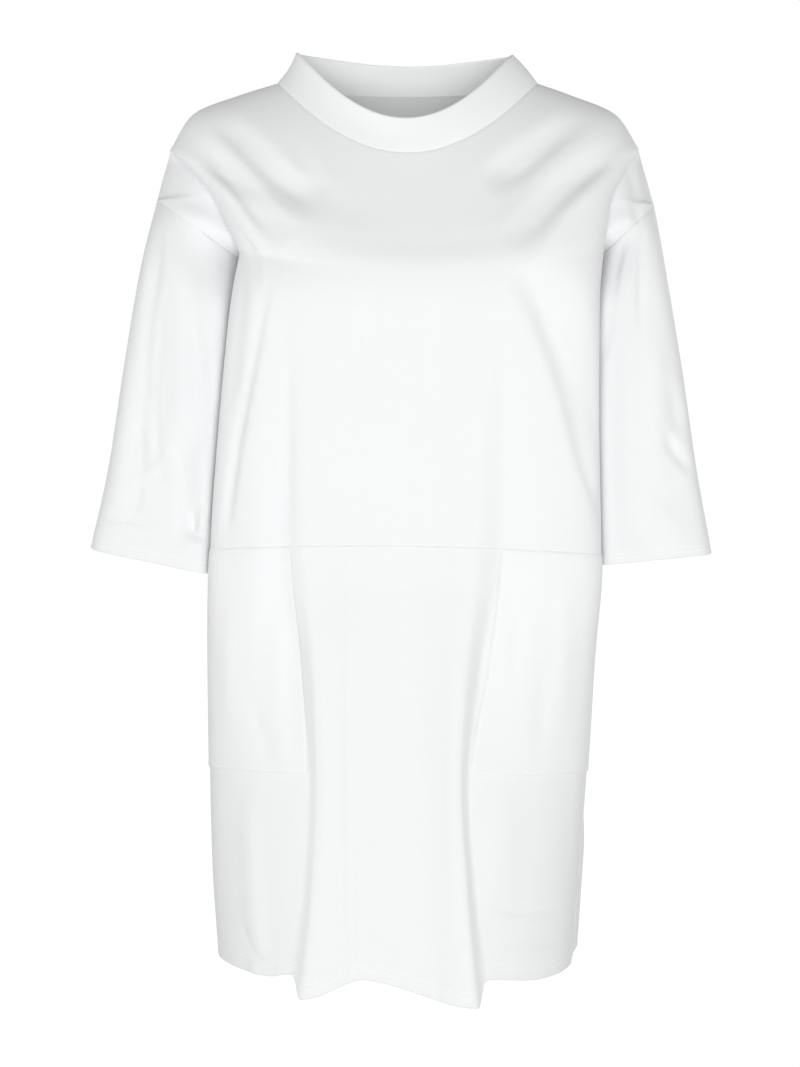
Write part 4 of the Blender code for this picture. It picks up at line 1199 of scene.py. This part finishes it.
def build_cloth():
    """Makes every piece of the dress with its sewing."""
    jersey = jersey_material("white_jersey", SINGLE_JERSEY)
    # The lighter copy of the jersey, for the collar and pockets, carries painted light.
    double_jersey_painted_lighter = jersey_material("white_jersey_double_painted_lighter", DOUBLE_JERSEY_PAINTED_LIGHTER)
    thread = thread_material()
    bodice_rows = body_rows(NECK, WAIST)
    panels = {
        "collar": Panel(collar_patch(), even(COLLAR_CLOTH)),
        "front_bodice": Panel(body_patches(bodice_rows, -1.0), even(CLOTH)),
        "back_bodice": Panel(body_patches(bodice_rows, 1.0), even(CLOTH)),
        "left_sleeve": Panel(sleeve_patch("left"), hem_thickness, HEM_DIPS),
        "right_sleeve": Panel(sleeve_patch("right"), hem_thickness, HEM_DIPS),
        "front_skirt": Panel(body_patches(skirt_rows(), -1.0), hem_thickness, HEM_DIPS),
        "back_skirt": Panel(body_patches(skirt_rows(), 1.0), hem_thickness, HEM_DIPS),
    }
    shared_normals(panels)
    crease_panels(panels, piece_creases)
    shared_normals(panels)

    stitches = {}
    for name in ("front_bodice", "left_sleeve", "right_sleeve", "front_skirt", "back_skirt"):
        panel = panels[name]
        lines = [] if name == "front_bodice" else [panel.row_line(row) for row in HEM_STITCH_ROWS]
        rows = [stitch_row(panel.points[line], panel.normals[line]) for line in lines]
        rows += seam_stitches(name, panel)
        stitches[name] = stitch_object(f"{name}_stitches", rows, thread)
    stitches["back_bodice"] = stitch_object("back_neck_stitches", [neck_chain(panels["back_bodice"])], thread)

    for name, panel in panels.items():
        thing = cloth_wall(f"{name}_cloth", panel, double_jersey_painted_lighter if name == "collar" else jersey)
        declare(thing, name)
    for which in ("left", "right"):
        build_pocket(which, panels["front_skirt"], double_jersey_painted_lighter, thread)
    for thing in stitches.values():
        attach(thing, "root")


def neck_chain(back):
    """The row of chain stitches inside the back neck."""
    arcs = back.grids[1]
    points, normals = inset_line(back, arcs[0], arcs[2], CHAIN_INSET)
    return stitch_row(points - normals * (CLOTH + STITCH_SINK), -normals, CHAIN_STITCH)


def build_pocket(which, skirt, material, thread):
    """A patch pocket on the front skirt, stitched along its inner edge and its bottom edge."""
    pocket = pocket_panel(skirt, which)
    lift = POCKET_GAP + pocket.thickness
    thing = cloth_wall(f"{which}_pocket_cloth", pocket, material, lift)
    pocket.points = pocket.points + pocket.normals * lift[:, None]
    if which == "left":
        edge, beside = pocket.grids[1][:, -1], pocket.grids[1][:, -2]
    else:
        edge, beside = pocket.grids[0][:, 0], pocket.grids[0][:, 1]
    bottom = [i for ids in pocket.grids for i in ids[-1]]
    above = dict(zip(bottom, [i for ids in pocket.grids for i in ids[-2]]))
    line = list(above)
    rows = [
        stitch_row(*inset_line(pocket, edge, beside, POCKET_SIDE_INSET)),
        stitch_row(*inset_line(pocket, line, [above[i] for i in line], POCKET_BOTTOM_INSET)),
    ]
    stitching = stitch_object(f"{which}_pocket_stitches", rows, thread)
    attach(stitching, "root")
    declare(thing, f"{which}_pocket")


# The studio: a pale floor below, and a sky that is white behind the dress, paler grey at the sides and in
# front, and dim overhead.
SKY_BACKDROP = 1.03
SKY_SIDE = 0.86
SKY_TOP = 0.3
FLOOR_Z = -1.45
FLOOR_RADIUS = 2.6
CAMERA_PLACE = (-0.0038, -3.2, -0.428)
CAMERA_LENS = 113.65


def build_stage():
    place = (0, 0, FLOOR_Z)
    bpy.ops.mesh.primitive_circle_add(vertices=96, radius=FLOOR_RADIUS, fill_type="NGON", location=place)
    floor = bpy.context.object
    floor.name = "floor"
    material, _, _, shader = new_material("pale_floor")
    set_inputs(shader, {"Base Color": (0.86, 0.86, 0.86, 1.0), "Roughness": 0.9})
    floor.data.materials.append(material)

    world = bpy.data.worlds.new("studio")
    bpy.context.scene.world = world
    world.use_nodes = True
    nodes, links = world.node_tree.nodes, world.node_tree.links
    background = nodes["Background"]
    direction = nodes.new("ShaderNodeTexCoord")
    split = nodes.new("ShaderNodeSeparateXYZ")
    links.new(direction.outputs["Generated"], split.inputs[0])

    def fall(value, start, end, at_start, at_end):
        """A soft change from one strength to another as a direction's component goes from start to end."""
        node = nodes.new("ShaderNodeMapRange")
        node.interpolation_type = "SMOOTHSTEP"
        set_inputs(node, {"From Min": start, "From Max": end, "To Max": at_end})
        if isinstance(at_start, float):
            node.inputs["To Min"].default_value = at_start
        else:
            links.new(at_start, node.inputs["To Min"])
        links.new(value, node.inputs["Value"])
        return node.outputs["Result"]

    level = fall(split.outputs[1], 0.55, 0.9, SKY_SIDE, SKY_BACKDROP)
    links.new(fall(split.outputs[2], 0.2, 0.55, level, SKY_TOP), background.inputs["Strength"])
    background.inputs["Color"].default_value = (1.0, 1.0, 1.0, 1.0)


# The place and target of each light, its size, all in metres, and its power in watts.
Light = namedtuple("Light", "name place target size power")
LIGHTS = [
    Light("front_softbox", (0.1, -4.2, -0.75), (0.0, 0.0, -0.45), (2.2, 1.6), 90.0),
    Light("left_softbox", (-2.2, 0.3, 0.5), (0.0, 0.0, -0.35), (1.2, 1.2), 4.0),
    Light("rear_softbox", (1.3, 3.0, 0.3), (0.0, 0.0, -0.45), (0.8, 0.8), 24.0),
    Light("neck_fill", (0.0, -0.03, -0.11), (0.0, 0.09, -0.02), (0.16, 0.03), 0.035),
]


def build_lights():
    for row in LIGHTS:
        light = bpy.data.lights.new(row.name, "AREA")
        light.shape = "RECTANGLE"
        light.size, light.size_y = row.size
        light.energy = row.power
        thing = bpy.data.objects.new(row.name, light)
        thing.location = row.place
        away = np.array(row.place) - np.array(row.target)
        thing.rotation_euler = Vector(away).to_track_quat("Z", "Y").to_euler()
        bpy.context.scene.collection.objects.link(thing)


def build_camera():
    camera = bpy.data.cameras.new("camera")
    camera.lens = CAMERA_LENS
    camera.sensor_width = 36.0
    camera.clip_end = 100.0
    thing = bpy.data.objects.new("camera", camera)
    thing.location = CAMERA_PLACE
    thing.rotation_euler = (math.radians(90.0), 0.0, 0.0)
    bpy.context.scene.collection.objects.link(thing)
    bpy.context.scene.camera = thing
    bpy.context.scene.view_settings.view_transform = "Standard"


build_cloth()
build_stage()
build_lights()
build_camera()
